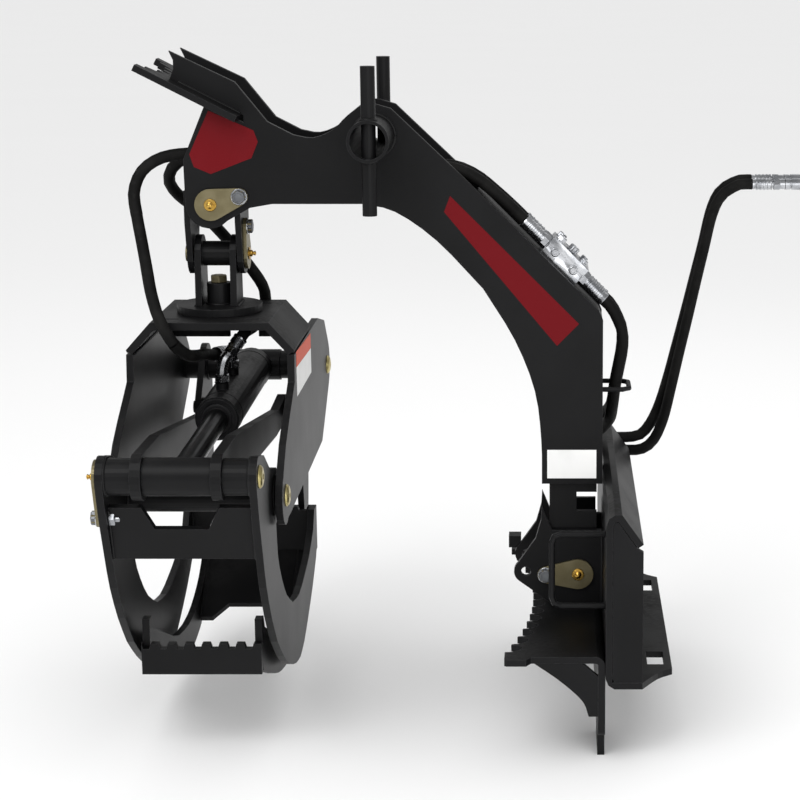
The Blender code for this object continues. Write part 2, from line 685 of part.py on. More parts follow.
def guard_loop(root):
    back = -FACE_THICKNESS - SEAT
    front = back - GUARD_REACH
    bend = 0.014
    path = [(back, GUARD_Y, GUARD_TOP), (front + bend, GUARD_Y, GUARD_TOP), (front + 0.004, GUARD_Y, GUARD_TOP - 0.004)]
    path += [(front, GUARD_Y, GUARD_TOP - bend), (front, GUARD_Y, GUARD_BOTTOM + bend)]
    path += [(front + 0.004, GUARD_Y, GUARD_BOTTOM + 0.004), (front + bend, GUARD_Y, GUARD_BOTTOM), (back, GUARD_Y, GUARD_BOTTOM)]
    publish("guard_loop", root, bent_bar(path, GUARD_BAR), BLACK_PAINT)


def hose_retainer(root):
    start = PILLAR_BACK + SEAT
    reach = start + RETAINER_REACH
    wide = RETAINER_HALF_WIDTH
    path = [(start, -wide, RETAINER_Z), (reach - 0.010, -wide, RETAINER_Z), (reach, -wide + 0.010, RETAINER_Z)]
    path += [(reach, wide - 0.010, RETAINER_Z), (reach - 0.010, wide, RETAINER_Z), (start, wide, RETAINER_Z)]
    publish("hose_retainer", root, bent_bar(path, RETAINER_BAR), BLACK_PAINT)


def slope_frame():
    """The boom's sloping back as an origin, a direction down along it and the way out of it."""
    high = Vector((-0.205, 0.0, 0.582))
    low = Vector((PILLAR_BACK - 0.0065, 0.0, 0.3925))
    down = (low - high).normalized()
    out = Vector((-down.z, 0.0, down.x))
    return high, down, out if out.z > 0 else -out


def valve(root):
    """The crossover valve on the boom's sloping back, with a pair of ferrules at each end."""
    high, down, out = slope_frame()
    centre = high + down * VALVE_ALONG + out * (VALVE_HEIGHT / 2 + SEAT)
    bm = block(
        (-VALVE_LENGTH / 2, -VALVE_WIDTH / 2, -VALVE_HEIGHT / 2), (VALVE_LENGTH / 2, VALVE_WIDTH / 2, VALVE_HEIGHT / 2)
    )
    bmesh.ops.bevel(bm, geom=bm.edges[:], offset=0.002, segments=1, affect="EDGES")
    turn = Matrix((down, Vector((0, 1, 0)), out)).transposed()
    bmesh.ops.rotate(bm, cent=(0, 0, 0), matrix=turn, verts=bm.verts)
    bmesh.ops.translate(bm, vec=centre, verts=bm.verts)
    made = publish("crossover_valve", root, bm, ZINC)
    ends = []
    places = {}
    for end in (-1, 1):
        for side in (-1, 1):
            start = centre + down * end * (VALVE_LENGTH / 2 - 0.004) + Vector((0, side * PORT_SPACING, 0))
            profile = [(0.0, 0.0), (FERRULE_RADIUS * 0.85, 0.0), (FERRULE_RADIUS * 0.85, 0.012), (FERRULE_RADIUS, 0.013)]
            profile += [(FERRULE_RADIUS, FERRULE_LENGTH), (0.0, FERRULE_LENGTH)]
            ends.append(turned(profile, start, down * end, 16))
            places[end, side] = start + down * end * (FERRULE_LENGTH + SEAT)
    join(made, "join_valve_ferrules", merge(*ends))
    return places, down


# Swinging head
def swing_link(link):
    reach = BOOM_HALF_WIDTH - BOOM_PLATE - 0.001
    top = BOOM_PIN_Z + 0.020
    lower = arc(0.0, CROSS_PIN_Z, LINK_END_RADIUS, 180, 360, 10)
    outline = [(-reach, BOOM_PIN_Z - 0.030), *lower, (reach, BOOM_PIN_Z - 0.030), (reach, top), (-reach, top)]
    hole = circle(0.0, CROSS_PIN_Z, PIN_RADIUS + SEAT)
    ends = ((HEAD_X, -reach, BOOM_PIN_Z), (HEAD_X, reach, BOOM_PIN_Z))
    made = publish("swing_link", link, pipe(*ends, SWING_TUBE_RADIUS, 0.0), BLACK_PAINT)
    plates = []
    for side in (-1, 1):
        faces = sorted((frame_x(side, LINK_HALF_WIDTH), frame_x(side, LINK_HALF_WIDTH - LINK_THICKNESS)))
        plates.append(flat_plate("YZ", *faces, outline, [hole]))
    join(made, "join_swing_plates", merge(*plates))
    past = Vector((0, FLAG_THICKNESS, 0))
    cut(made, "cut_swing_bore", pipe(Vector(ends[0]) - past, Vector(ends[1]) + past, PIN_RADIUS + RUNNING, 0.0))
    face = HEAD_X + LINK_HALF_WIDTH + SEAT
    toe = (-0.010, CROSS_PIN_Z + 0.044)
    bm = pipe((HEAD_X - LINK_HALF_WIDTH - 0.006, 0, CROSS_PIN_Z), (face - SEAT, 0, CROSS_PIN_Z), PIN_RADIUS, 0.0)
    publish("cross_pin", link, bm, YELLOW_ZINC)
    keeper(link, "cross_pin_keeper", "YZ", (0.0, CROSS_PIN_Z), toe, face, 1)


def clevis(body):
    disc_low = DISC_TOP - DISC_THICKNESS
    upper = arc(0.0, CROSS_PIN_Z, CLEVIS_END_RADIUS, 0, 180, 10)
    outline = [(0.034, DISC_TOP + SEAT), *upper, (-0.034, DISC_TOP + SEAT)]
    half = EAR_HALF_WIDTH - CLEVIS_PLATE / 2
    middle = Vector((HEAD_X, 0.0, CROSS_PIN_Z))
    across = Vector((1, 0, 0))
    ears = []
    for side in (-1, 1):
        faces = sorted((frame_x(side, EAR_HALF_WIDTH), frame_x(side, EAR_HALF_WIDTH - CLEVIS_PLATE)))
        ears.append(flat_plate("YZ", *faces, outline))
    made = publish("clevis", body, ears[0], BLACK_PAINT)
    join(made, "join_clevis_boss", pipe(middle - across * half, middle + across * half, CLEVIS_BOSS_RADIUS, 0.0))
    join(made, "join_clevis_ear", ears[1])
    cut(made, "cut_clevis_bore", pipe(middle - across * 0.05, middle + across * 0.05, PIN_RADIUS + RUNNING, 0.0))
    bore = SWIVEL_RADIUS + RUNNING
    profile = [(bore, disc_low), (DISC_RADIUS, disc_low), (DISC_RADIUS, DISC_TOP), (HOUSING_RADIUS, DISC_TOP)]
    profile += [(HOUSING_RADIUS, HOUSING_TOP), (bore, HOUSING_TOP)]
    publish("swivel_disc", body, turned(profile, (HEAD_X, 0, 0), (0, 0, 1), 40), BLACK_PAINT)


# Grapple frame
def frame_x(side, offset):
    return HEAD_X + side * offset


def crown_strap(frame):
    t = STRAP_THICKNESS
    flat = STRAP_FLAT_HALF
    outer = FRAME_OUTER
    drop = STRAP_TOP - FRAME_SHOULDER
    skin = [(HEAD_X - outer, FRAME_SHOULDER), (HEAD_X - flat, STRAP_TOP), (HEAD_X + flat, STRAP_TOP)]
    skin += [(HEAD_X + outer, FRAME_SHOULDER)]
    inset = t * math.tan(math.atan2(drop, outer - flat) / 2)
    foot = t * math.sin(math.atan2(drop, outer - flat))
    back = [(HEAD_X + outer - foot, FRAME_SHOULDER - t * 0.60 + SEAT), (HEAD_X + flat - inset, STRAP_TOP - t)]
    back += [(HEAD_X - flat + inset, STRAP_TOP - t), (HEAD_X - outer + foot, FRAME_SHOULDER - t * 0.60 + SEAT)]
    bm = flat_plate("XZ", -STRAP_HALF_DEPTH, STRAP_HALF_DEPTH, skin + back)
    strap = publish("crown_strap", frame, bm, BLACK_PAINT)
    low = STRAP_TOP - 2 * t
    cut(strap, "cut_swivel_hole", pipe((HEAD_X, 0, low), (HEAD_X, 0, STRAP_TOP + t), SWIVEL_RADIUS + SEAT, 0.0))
    slots = []
    for x in (-0.062, 0.062):
        for y in (-0.076, 0.076):
            slots.append(block((HEAD_X + x - 0.010, y - 0.003, low), (HEAD_X + x + 0.010, y + 0.003, STRAP_TOP + t)))
    cut(strap, "cut_strap_slots", merge(*slots))


def frame_plates(frame):
    """Two side plates that carry the jaw pins below the crown strap."""
    shoulder = FRAME_SHOULDER - STRAP_THICKNESS * 0.60
    top = [(-0.108, shoulder), (0.222, shoulder), (0.318, shoulder - 0.020)]
    far = arc(FAR_PIVOT_Y, FAR_PIVOT_Z, 0.044, 50, -60, 6)
    belly = [(0.293, 0.145), (0.248, 0.119), (-0.200, 0.112)]
    near = arc(NEAR_PIVOT_Y, NEAR_PIVOT_Z, 0.044, -62, -215, 8)
    front = [(-0.236, 0.226), (-0.193, 0.252), (-0.146, 0.277), (-0.112, 0.296)]
    holes = []
    for y, z in ((NEAR_PIVOT_Y, NEAR_PIVOT_Z), (FAR_PIVOT_Y, FAR_PIVOT_Z)):
        holes.append(circle(y, z, JAW_PIN_RADIUS + SEAT))
    plate_pair(frame, "frame_plate", "YZ", FRAME_OUTER, FRAME_PLATE, top + far + belly + near + front, holes)


def swivel_bolt(frame):
    """The bolt that the grapple turns on, with its nuts above and below."""
    top = HOUSING_TOP + RUNNING
    low = STRAP_TOP - STRAP_THICKNESS - SEAT
    foot = low - LOWER_NUT_HEIGHT
    profile = [(0.0, foot - 0.004), (SWIVEL_RADIUS, foot - 0.004), (SWIVEL_RADIUS, foot), (LOWER_NUT_RADIUS, foot)]
    profile += [(LOWER_NUT_RADIUS, low), (SWIVEL_RADIUS, low), (SWIVEL_RADIUS, top), (SWIVEL_NUT_RADIUS, top)]
    profile += [(SWIVEL_NUT_RADIUS, top + SWIVEL_NUT_HEIGHT), (0.0, top + SWIVEL_NUT_HEIGHT)]
    publish("swivel_bolt", frame, turned(profile, (HEAD_X, 0, 0), (0, 0, 1), 24), YELLOW_ZINC)


def jaw_pins(frame):
    """The two pins through the frame plates, each with a domed head outside."""
    for name, y, z in (("near_jaw_pin", NEAR_PIVOT_Y, NEAR_PIVOT_Z), ("far_jaw_pin", FAR_PIVOT_Y, FAR_PIVOT_Z)):
        half = FRAME_OUTER + 0.003
        shoulder = HEAD_CAP_RADIUS + 0.0035
        profile = [(0.0, -half - HEAD_CAP), (HEAD_CAP_RADIUS, -half - HEAD_CAP), (shoulder, -half)]
        profile += [(JAW_PIN_RADIUS, -half + 0.001), (JAW_PIN_RADIUS, half - 0.001), (shoulder, half)]
        profile += [(HEAD_CAP_RADIUS, half + HEAD_CAP), (0.0, half + HEAD_CAP)]
        publish(name, frame, turned(profile, (HEAD_X, y, z), (1, 0, 0)), YELLOW_ZINC)


# Jaws
def near_outline():
    hub = arc(ROD_PIN_Y, ROD_PIN_Z, HUB_RADIUS, 60, 195, 8)
    outer = smooth([(-0.425, 0.165), (-0.397, 0.100), (-0.370, 0.045), (-0.325, -0.015), (-0.270, -0.070)], 2)
    outer += smooth([(-0.270, -0.070), (-0.205, -0.115), (-0.135, -0.152), (-0.055, -0.178), (0.000, -0.186)], 2)[1:]
    outer += smooth([(0.000, -0.186), (0.055, -0.178), (0.120, -0.155), (0.190, -0.125), (0.252, -0.090)], 2)[1:]
    tip = [(NEAR_TIP_Y - SEAT, -0.078), (NEAR_TIP_Y - SEAT, -0.002), (0.240, -0.002)]
    inner = smooth([(0.218, -0.032), (0.155, -0.057), (0.080, -0.072), (0.000, -0.080), (-0.080, -0.068)], 2)
    inner += smooth([(-0.080, -0.068), (-0.150, -0.035), (-0.205, 0.010), (-0.240, 0.055), (-0.250, 0.108)], 2)[1:]
    pivot = arc(NEAR_PIVOT_Y, NEAR_PIVOT_Z, 0.042, 270, 450, 8)[1:]
    return hub + outer + tip + inner + pivot + [(-0.300, 0.205), (-0.360, 0.240)]


def far_outline():
    """The far jaw's arm runs outside the way that the near jaw's tip bar takes as the jaws part."""
    hub = arc(FAR_PIVOT_Y, FAR_PIVOT_Z, 0.038, 150, -20, 10)
    outer = smooth([(0.384, 0.190), (0.380, 0.130), (0.370, 0.060), (0.358, -0.010), (0.335, -0.075)], 2)
    outer += smooth([(0.335, -0.075), (0.300, -0.128), (0.240, -0.168), (0.170, -0.192), (0.100, -0.202)], 2)[1:]
    outer += smooth([(0.100, -0.202), (0.020, -0.201), (-0.060, -0.189), (-0.140, -0.166), (-0.262, -0.118)], 2)[1:]
    tip = [(-0.268, -0.100), (-0.266, -0.036), (-0.248, -0.036)]
    inner = smooth([(-0.236, -0.058), (-0.170, -0.086), (-0.110, -0.112), (-0.030, -0.140), (0.058, -0.151)], 2)
    inner += smooth([(0.058, -0.151), (0.120, -0.150), (0.180, -0.139), (0.235, -0.120), (0.282, -0.090)], 2)[1:]
    inner += smooth([(0.282, -0.090), (0.296, -0.045), (0.290, 0.010), (0.272, 0.070), (0.250, 0.140)], 2)[1:]
    return hub + outer + tip + inner + arc(SYNC_PIN_Y, SYNC_PIN_Z, 0.030, 190, 130, 4)


def lengthwise(side, low, high, y, z, radius):
    """A bar along X on one side of the head, between two distances from its middle."""
    return pipe((frame_x(side, low), y, z), (frame_x(side, high), y, z), radius, 0.0)


def cross_member(body, name, low, high, half, notch_low, notch_high, depth, flip):
    """A slanted plate between two jaw plates, with a notch in one edge."""
    low = Vector((0.0, *low))
    high = Vector((0.0, *high))
    up = high - low
    tall = up.length
    up.normalize()
    edge = [(-half, 0.0), (half, 0.0), (half, tall), (notch_high, tall), (notch_low, tall - depth)]
    edge += [(-notch_low, tall - depth), (-notch_high, tall), (-half, tall)]
    if flip:
        edge = [(a, tall - b) for a, b in edge]
    bm = flat_plate("XY", -CROSS_PLATE, 0.0, edge)
    across = Vector((1, 0, 0))
    turn = Matrix((across, up, across.cross(up))).transposed()
    bmesh.ops.rotate(bm, cent=(0, 0, 0), matrix=turn, verts=bm.verts)
    bmesh.ops.translate(bm, vec=low + Vector((HEAD_X, 0, 0)), verts=bm.verts)
    publish(name, body, bm, BLACK_PAINT)


def tip_bar(body, name, y, low, high, half, out, teeth_up):
    """The toothed bar across a jaw's tips."""
    pitch = 2 * half / TIP_TEETH
    top = [(-half, low), (half, low)]
    for i in range(TIP_TEETH):
        right = half - i * pitch
        top += [(right, high), (right - 0.45 * pitch, high), (right - 0.55 * pitch, high - TIP_TOOTH)]
        top += [(right - 0.90 * pitch, high - TIP_TOOTH)]
    top += [(-half, high)]
    if not teeth_up:
        top = [(a, low + high - b) for a, b in top]
    faces = sorted((y, y + out * TIP_BAR))
    outline = [(HEAD_X + a, b) for a, b in top]
    publish(name, body, flat_plate("XZ", *faces, outline), BLACK_PAINT)


def near_jaw(jaw):
    """The jaw that the rod pushes: each plate has a boss outside its pivot and one inside its rod pin."""
    half = NEAR_OUTER - NEAR_PLATE - SEAT
    past = 0.002
    inside = FRAME_OUTER - FRAME_PLATE - SEAT
    plates = plate_pair(jaw, "near_jaw_plate", "YZ", NEAR_OUTER, NEAR_PLATE, near_outline())
    for made, side in zip(plates, (-1, 1)):
        outer = lengthwise(side, NEAR_OUTER - past, inside, NEAR_PIVOT_Y, NEAR_PIVOT_Z, 0.028)
        inner = lengthwise(side, SYNC_OUTER + SEAT, half + past, ROD_PIN_Y, ROD_PIN_Z, 0.0265)
        join(made, f"join_{made.name}_bosses", merge(outer, inner))
        pivot = lengthwise(side, half - past, FRAME_OUTER, NEAR_PIVOT_Y, NEAR_PIVOT_Z, JAW_PIN_RADIUS + RUNNING)
        pin = lengthwise(side, SYNC_OUTER - past, FRAME_OUTER, ROD_PIN_Y, ROD_PIN_Z, ROD_PIN_RADIUS + RUNNING)
        cut(made, f"cut_{made.name}_bores", merge(pivot, pin))
    ends = ((HEAD_X - half, NEAR_PIVOT_Y, NEAR_PIVOT_Z), (HEAD_X + half, NEAR_PIVOT_Y, NEAR_PIVOT_Z))
    publish("near_jaw_tube", jaw, pipe(*ends, NEAR_TUBE_RADIUS, JAW_PIN_RADIUS + RUNNING), BLACK_PAINT)
    cross_member(jaw, "near_cross_plate", (-0.388, 0.094), (-0.413, 0.176), half, 0.0385, 0.055, 0.036, False)
    tip_bar(jaw, "near_tip_bar", NEAR_TIP_Y, -0.080, -0.002, NEAR_OUTER, 1, True)
    reach = NEAR_OUTER
    profile = [(0.0, -reach), (ROD_PIN_RADIUS, -reach), (ROD_PIN_RADIUS, reach + 0.002)]
    profile += [(HEAD_CAP_RADIUS * 0.8, reach + HEAD_CAP), (0.0, reach + HEAD_CAP)]
    publish("rod_pin", jaw, turned(profile, (HEAD_X, ROD_PIN_Y, ROD_PIN_Z), (1, 0, 0)), YELLOW_ZINC)
    toe = (ROD_PIN_Y + 0.008, ROD_PIN_Z - 0.062)
    keeper(jaw, "rod_pin_keeper", "YZ", (ROD_PIN_Y, ROD_PIN_Z), toe, frame_x(-1, NEAR_OUTER + SEAT), -1, False)


def far_jaw(jaw):
    """The jaw that follows: each plate has a long boss round its pivot and the sync pin's end outside."""
    half = FAR_OUTER - FAR_PLATE - SEAT
    past = 0.002
    low = BASE_TUBE_HALF + SEAT
    high = FRAME_OUTER - FRAME_PLATE - SEAT
    plates = plate_pair(jaw, "far_jaw_plate", "YZ", FAR_OUTER, FAR_PLATE, far_outline())
    for made, side in zip(plates, (-1, 1)):
        boss = lengthwise(side, low, high, FAR_PIVOT_Y, FAR_PIVOT_Z, 0.0245)
        end = lengthwise(side, FAR_OUTER - past, FAR_OUTER + HEAD_CAP, SYNC_PIN_Y, SYNC_PIN_Z, HEAD_CAP_RADIUS)
        join(made, f"join_{made.name}_bosses", merge(boss, end))
        bore = lengthwise(side, low - past, high + past, FAR_PIVOT_Y, FAR_PIVOT_Z, JAW_PIN_RADIUS + RUNNING)
        cut(made, f"cut_{made.name}_bore", bore)
    cross_member(jaw, "far_cross_plate", (0.165, -0.172), (0.335, -0.060), half, 0.032, 0.057, 0.030, True)
    tip_bar(jaw, "far_tip_bar", FAR_TIP_Y, -0.118, -0.070, FAR_OUTER, -1, True)


def sync_links(link):
    """The pair of links that make the jaws move together."""
    ring = arc(ROD_PIN_Y, ROD_PIN_Z, 0.034, 80, 290, 12)
    end = arc(SYNC_PIN_Y, SYNC_PIN_Z, 0.022, -100, 80, 8)
    outline = ring + [(-0.330, 0.184), (0.150, 0.150)] + end + [(0.190, 0.186), (-0.285, 0.252)]
    hole = circle(ROD_PIN_Y, ROD_PIN_Z, ROD_PIN_RADIUS + RUNNING)
    plates = plate_pair(link, "sync_link", "YZ", SYNC_OUTER, SYNC_PLATE, outline, [hole])
    for made, side in zip(plates, (-1, 1)):
        boss = lengthwise(side, SYNC_OUTER - 0.002, FAR_OUTER - FAR_PLATE - SEAT, SYNC_PIN_Y, SYNC_PIN_Z, SYNC_BOSS_RADIUS)
        join(made, f"join_{made.name}_boss", boss)


# Cylinder
def cylinder_axis():
    start = Vector((HEAD_X, FAR_PIVOT_Y, FAR_PIVOT_Z))
    end = Vector((HEAD_X, ROD_PIN_Y, ROD_PIN_Z))
    return start, (end - start).normalized(), (end - start).length


def barrel_up(along):
    up = along.cross(Vector((1, 0, 0)))
    return up if up.z > 0 else -up


def barrel(body):
    start, along, _ = cylinder_axis()
    bore = BARREL_RADIUS - BARREL_WALL
    base = BASE_TUBE_RADIUS - 0.004
    mouth = BARREL_LENGTH - GLAND_LENGTH
    rod_bore = ROD_BAR_RADIUS + RUNNING
    profile = [(0.0, base), (BARREL_RADIUS, base), (BARREL_RADIUS, BARREL_LENGTH), (rod_bore, BARREL_LENGTH)]
    profile += [(rod_bore, mouth), (bore, mouth), (bore, base + 0.025), (0.0, base + 0.025)]
    made = publish("cylinder_barrel", body, turned(profile, start, along), BLACK_PAINT)
    ends = (start - Vector((BASE_TUBE_HALF, 0, 0)), start + Vector((BASE_TUBE_HALF, 0, 0)))
    join(made, "join_base_tube", pipe(*ends, BASE_TUBE_RADIUS, 0.0))
    past = Vector((FLAG_THICKNESS, 0, 0))
    cut(made, "cut_base_bore", pipe(ends[0] - past, ends[1] + past, JAW_PIN_RADIUS + RUNNING, 0.0))
    up = barrel_up(along)
    for name, y, outlet in (("head", HEAD_PORT_Y, HEAD_OUTLET), ("base", BASE_PORT_Y, BASE_OUTLET)):
        distance = (FAR_PIVOT_Y - y) / -along.y
        seat = start + along * distance + up * (BARREL_RADIUS - 0.003)
        top = seat + up * (PORT_HEIGHT + 0.003)
        join(made, f"join_{name}_port", pipe(seat, top, PORT_RADIUS, 0.0, 16))
        join(made, f"join_{name}_elbow", bent_bar(elbow_path(top, up, outlet), ELBOW_RADIUS))


def elbow_path(foot, up, outlet):
    """The middle line of an elbow that stands in its port and turns to its outlet."""
    side = Vector(outlet).normalized()
    top = foot + up * ELBOW_RISE
    return [foot - up * 0.003, foot + up * (ELBOW_RISE * 0.6), top + side * 0.008, top + side * 0.020, top + side * ELBOW_REACH]


def elbow_end(y, outlet):
    """Where a hose leaves its elbow, and the way it leaves."""
    start, along, _ = cylinder_axis()
    up = barrel_up(along)
    distance = (FAR_PIVOT_Y - y) / -along.y
    foot = start + along * distance + up * (BARREL_RADIUS + PORT_HEIGHT)
    return elbow_path(foot, up, outlet)[-1], Vector(outlet).normalized()


def rod(body):
    start, along, length = cylinder_axis()
    bore = BARREL_RADIUS - BARREL_WALL
    piston = bore - RUNNING
    profile = [(0.0, PISTON_PLACE), (piston, PISTON_PLACE), (piston, PISTON_PLACE + PISTON_LENGTH)]
    profile += [(ROD_BAR_RADIUS, PISTON_PLACE + PISTON_LENGTH), (ROD_BAR_RADIUS, length - ROD_EYE_RADIUS + 0.004)]
    profile += [(0.0, length - ROD_EYE_RADIUS + 0.004)]
    made = publish("cylinder_rod", body, turned(profile, start, along, 24), CHROME)
    half = SYNC_OUTER - SYNC_PLATE - SEAT
    near = Vector((HEAD_X - half, ROD_PIN_Y, ROD_PIN_Z))
    far = Vector((HEAD_X + half, ROD_PIN_Y, ROD_PIN_Z))
    past = Vector((FLAG_THICKNESS, 0, 0))
    join(made, "join_rod_eye", pipe(near, far, ROD_EYE_RADIUS, 0.0))
    cut(made, "cut_rod_eye", pipe(near - past, far + past, ROD_EYE_BORE, 0.0))


# Hoses: the points of each route were chosen by hand. A stretch ends where the next one starts.
LEFT_ROUTE = (
    (
        (-0.175, -0.017, 0.574),
        (-0.212, -0.018, 0.603),
        (-0.252, -0.020, 0.617),
        (-0.295, -0.021, 0.612),
        (-0.340, -0.022, 0.601),
        (-0.390, -0.022, 0.598),
        (-0.440, -0.022, 0.600),
        (-0.490, -0.022, 0.608),
        (-0.540, -0.022, 0.620),
        (-0.590, -0.022, 0.631),
        (-0.628, -0.022, 0.637),
        (-0.662, -0.023, 0.638),
        (-0.697, -0.026, 0.631),
        (-0.724, -0.031, 0.612),
        (-0.736, -0.039, 0.581),
        (-0.731, -0.050, 0.546),
    ),
    ((-0.731, -0.050, 0.546), (-0.7225, -0.065, 0.510), (-0.714, -0.080, 0.473)),
    ((-0.714, -0.080, 0.473), (-0.703, -0.103, 0.430), (-0.688, -0.123, 0.393), (-0.668, -0.126, 0.358)),
    ((-0.668, -0.126, 0.358), (-0.653, -0.102, 0.337), (-0.646, -0.060, 0.327), (-0.643, -0.005, 0.319)),
)
REAR_ROUTE = (
    (
        (-0.175, 0.017, 0.574),
        (-0.212, 0.018, 0.603),
        (-0.252, 0.020, 0.617),
        (-0.295, 0.021, 0.612),
        (-0.340, 0.022, 0.601),
        (-0.390, 0.022, 0.598),
        (-0.440, 0.022, 0.600),
        (-0.490, 0.022, 0.608),
        (-0.540, 0.022, 0.620),
        (-0.590, 0.022, 0.629),
        (-0.630, 0.023, 0.632),
        (-0.662, 0.028, 0.628),
        (-0.688, 0.039, 0.612),
        (-0.698, 0.054, 0.588),
        (-0.687, 0.070, 0.564),
    ),
    ((-0.687, 0.070, 0.564), (-0.661, 0.079, 0.541), (-0.632, 0.083, 0.512)),
    ((-0.632, 0.083, 0.512), (-0.603, 0.085, 0.478), (-0.578, 0.092, 0.443), (-0.562, 0.108, 0.412), (-0.560, 0.125, 0.386)),
    ((-0.560, 0.125, 0.386), (-0.566, 0.126, 0.362), (-0.574, 0.098, 0.348), (-0.583, 0.060, 0.345)),
)
SUPPLY_NEAR_ROUTE = (
    (0.0100, -0.017, 0.385),
    (0.0205, -0.016, 0.360),
    (0.0215, -0.014, 0.332),
    (0.0160, -0.012, 0.300),
    (0.0100, -0.011, 0.268),
    (0.0070, 0.004, 0.236),
    (0.0030, 0.055, 0.200),
    (-0.0140, 0.117, 0.165),
    (-0.0240, 0.185, 0.134),
    (-0.0260, 0.250, 0.108),
    (-0.0280, 0.298, 0.093),
    (-0.0160, 0.332, 0.085),
    (0.0150, 0.344, 0.081),
    (0.0460, 0.342, 0.080),
    (0.0700, 0.336, 0.084),
    (0.0900, 0.332, 0.102),
    (0.1060, 0.326, 0.142),
    (0.1190, 0.322, 0.200),
    (0.1320, 0.318, 0.262),
    (0.1450, 0.313, 0.322),
    (0.1580, 0.309, 0.384),
    (0.1710, 0.305, 0.444),
    (0.1838, 0.301, 0.503),
    (0.1990, 0.299, 0.536),
    (0.2230, 0.298, 0.553),
)
SUPPLY_FAR_ROUTE = (
    (0.0100, 0.017, 0.385),
    (0.0205, 0.016, 0.360),
    (0.0215, 0.014, 0.332),
    (0.0160, 0.012, 0.300),
    (0.0100, 0.013, 0.268),
    (0.0075, 0.027, 0.242),
    (0.0040, 0.064, 0.219),
    (-0.0120, 0.120, 0.189),
    (-0.0230, 0.187, 0.157),
    (-0.0260, 0.250, 0.131),
    (-0.0280, 0.298, 0.116),
    (-0.0160, 0.332, 0.108),
    (0.0150, 0.345, 0.1030),
    (0.0440, 0.347, 0.1025),
    (0.0660, 0.343, 0.108),
    (0.0840, 0.346, 0.128),
    (0.1000, 0.347, 0.163),
    (0.1150, 0.3435, 0.215),
    (0.1290, 0.3395, 0.272),
    (0.1430, 0.3345, 0.330),
    (0.1570, 0.3305, 0.390),
    (0.1710, 0.3265, 0.450),
    (0.1838, 0.3225, 0.509),
    (0.1990, 0.3205, 0.542),
    (0.2230, 0.3195, 0.558),
)
COUPLER_NEAR = (0.2511, 0.298, 0.5563)
COUPLER_FAR = (0.2511, 0.3195, 0.5613)


def resampled(curve, spacing):
    """Points a set distance apart along a curve of close points, with both its ends kept."""
    picked = [curve[0]]
    gone = 0.0
    for before, after in zip(curve, curve[1:]):
        gone += (after - before).length
        if gone >= spacing:
            picked.append(after)
            gone = 0.0
    if (picked[-1] - curve[-1]).length < spacing * 0.5:
        picked.pop()
    return picked + [curve[-1]]


def squared_end(points, at_start, way):
    """Shorten one end by half a seat and set a point behind it, so that the cut is square to the hose."""
    way = way.normalized()
    end = points[0] if at_start else points[-1]
    face = end + way * SEAT / 2
    behind = end + way * 0.006
    return [face, behind, *points[1:]] if at_start else [*points[:-1], behind, face]


def hose_stretches(start, way_out, parts, end, way_in):
    """Centre lines of a hose's stretches, cut from one smooth curve from fitting to fitting."""
    knots = [Vector(start), Vector(start) + Vector(way_out) * 0.016]
    cuts = []
    for part in parts:
        fresh = part if len(knots) == 2 else part[1:]
        knots += [Vector(p) for p in fresh]
        cuts.append(len(knots) - 1)
    knots += [Vector(end) + Vector(way_in) * 0.016, Vector(end)]
    cuts[-1] = len(knots) - 1
    fine = through(knots, 8)
    stretches = []
    first = 0
    for cut_at in cuts:
        last = cut_at * 8
        points = resampled(fine[first : last + 1], HOSE_STEP)
        ahead = fine[first + 1] - fine[first - 1] if first else Vector(way_out)
        back = fine[last - 1] - fine[last + 1] if last + 1 < len(fine) else Vector(way_in)
        points = squared_end(points, True, ahead)
        stretches.append(squared_end(points, False, back))
        first = last
    return stretches


def lay_hose(name, body, points):
    """A hose as a curve with a round bevel."""
    curve = bpy.data.curves.new(name, "CURVE")
    curve.dimensions = "3D"
    curve.bevel_depth = HOSE_RADIUS
    curve.bevel_resolution = 3
    curve.use_fill_caps = True
    curve.materials.append(finish_material(HOSE_RUBBER))
    spline = curve.splines.new("POLY")
    spline.points.add(len(points) - 1)
    origin = body.matrix_world.translation
    for slot, point in zip(spline.points, points):
        slot.co = (*(Vector(point) - origin), 1.0)
    made = bpy.data.objects.new(name, curve)
    bpy.context.collection.objects.link(made)
    made.parent = body
    return made


def cylinder_hoses(places, down, bodies):
    """The two hoses from the valve through the boom to the cylinder, each in a stretch for every joint it crosses."""
    way_out = -down
    routes = (("left", -1, LEFT_ROUTE, BASE_PORT_Y, BASE_OUTLET), ("rear", 1, REAR_ROUTE, HEAD_PORT_Y, HEAD_OUTLET))
    for word, side, route, port_y, outlet in routes:
        end, way = elbow_end(port_y, outlet)
        stretches = hose_stretches(places[-1, side], way_out, route, end + way * SEAT, way)
        for number, (body, points) in enumerate(zip(bodies, stretches), 1):
            lay_hose(f"{word}_hose_{number}", body, points)


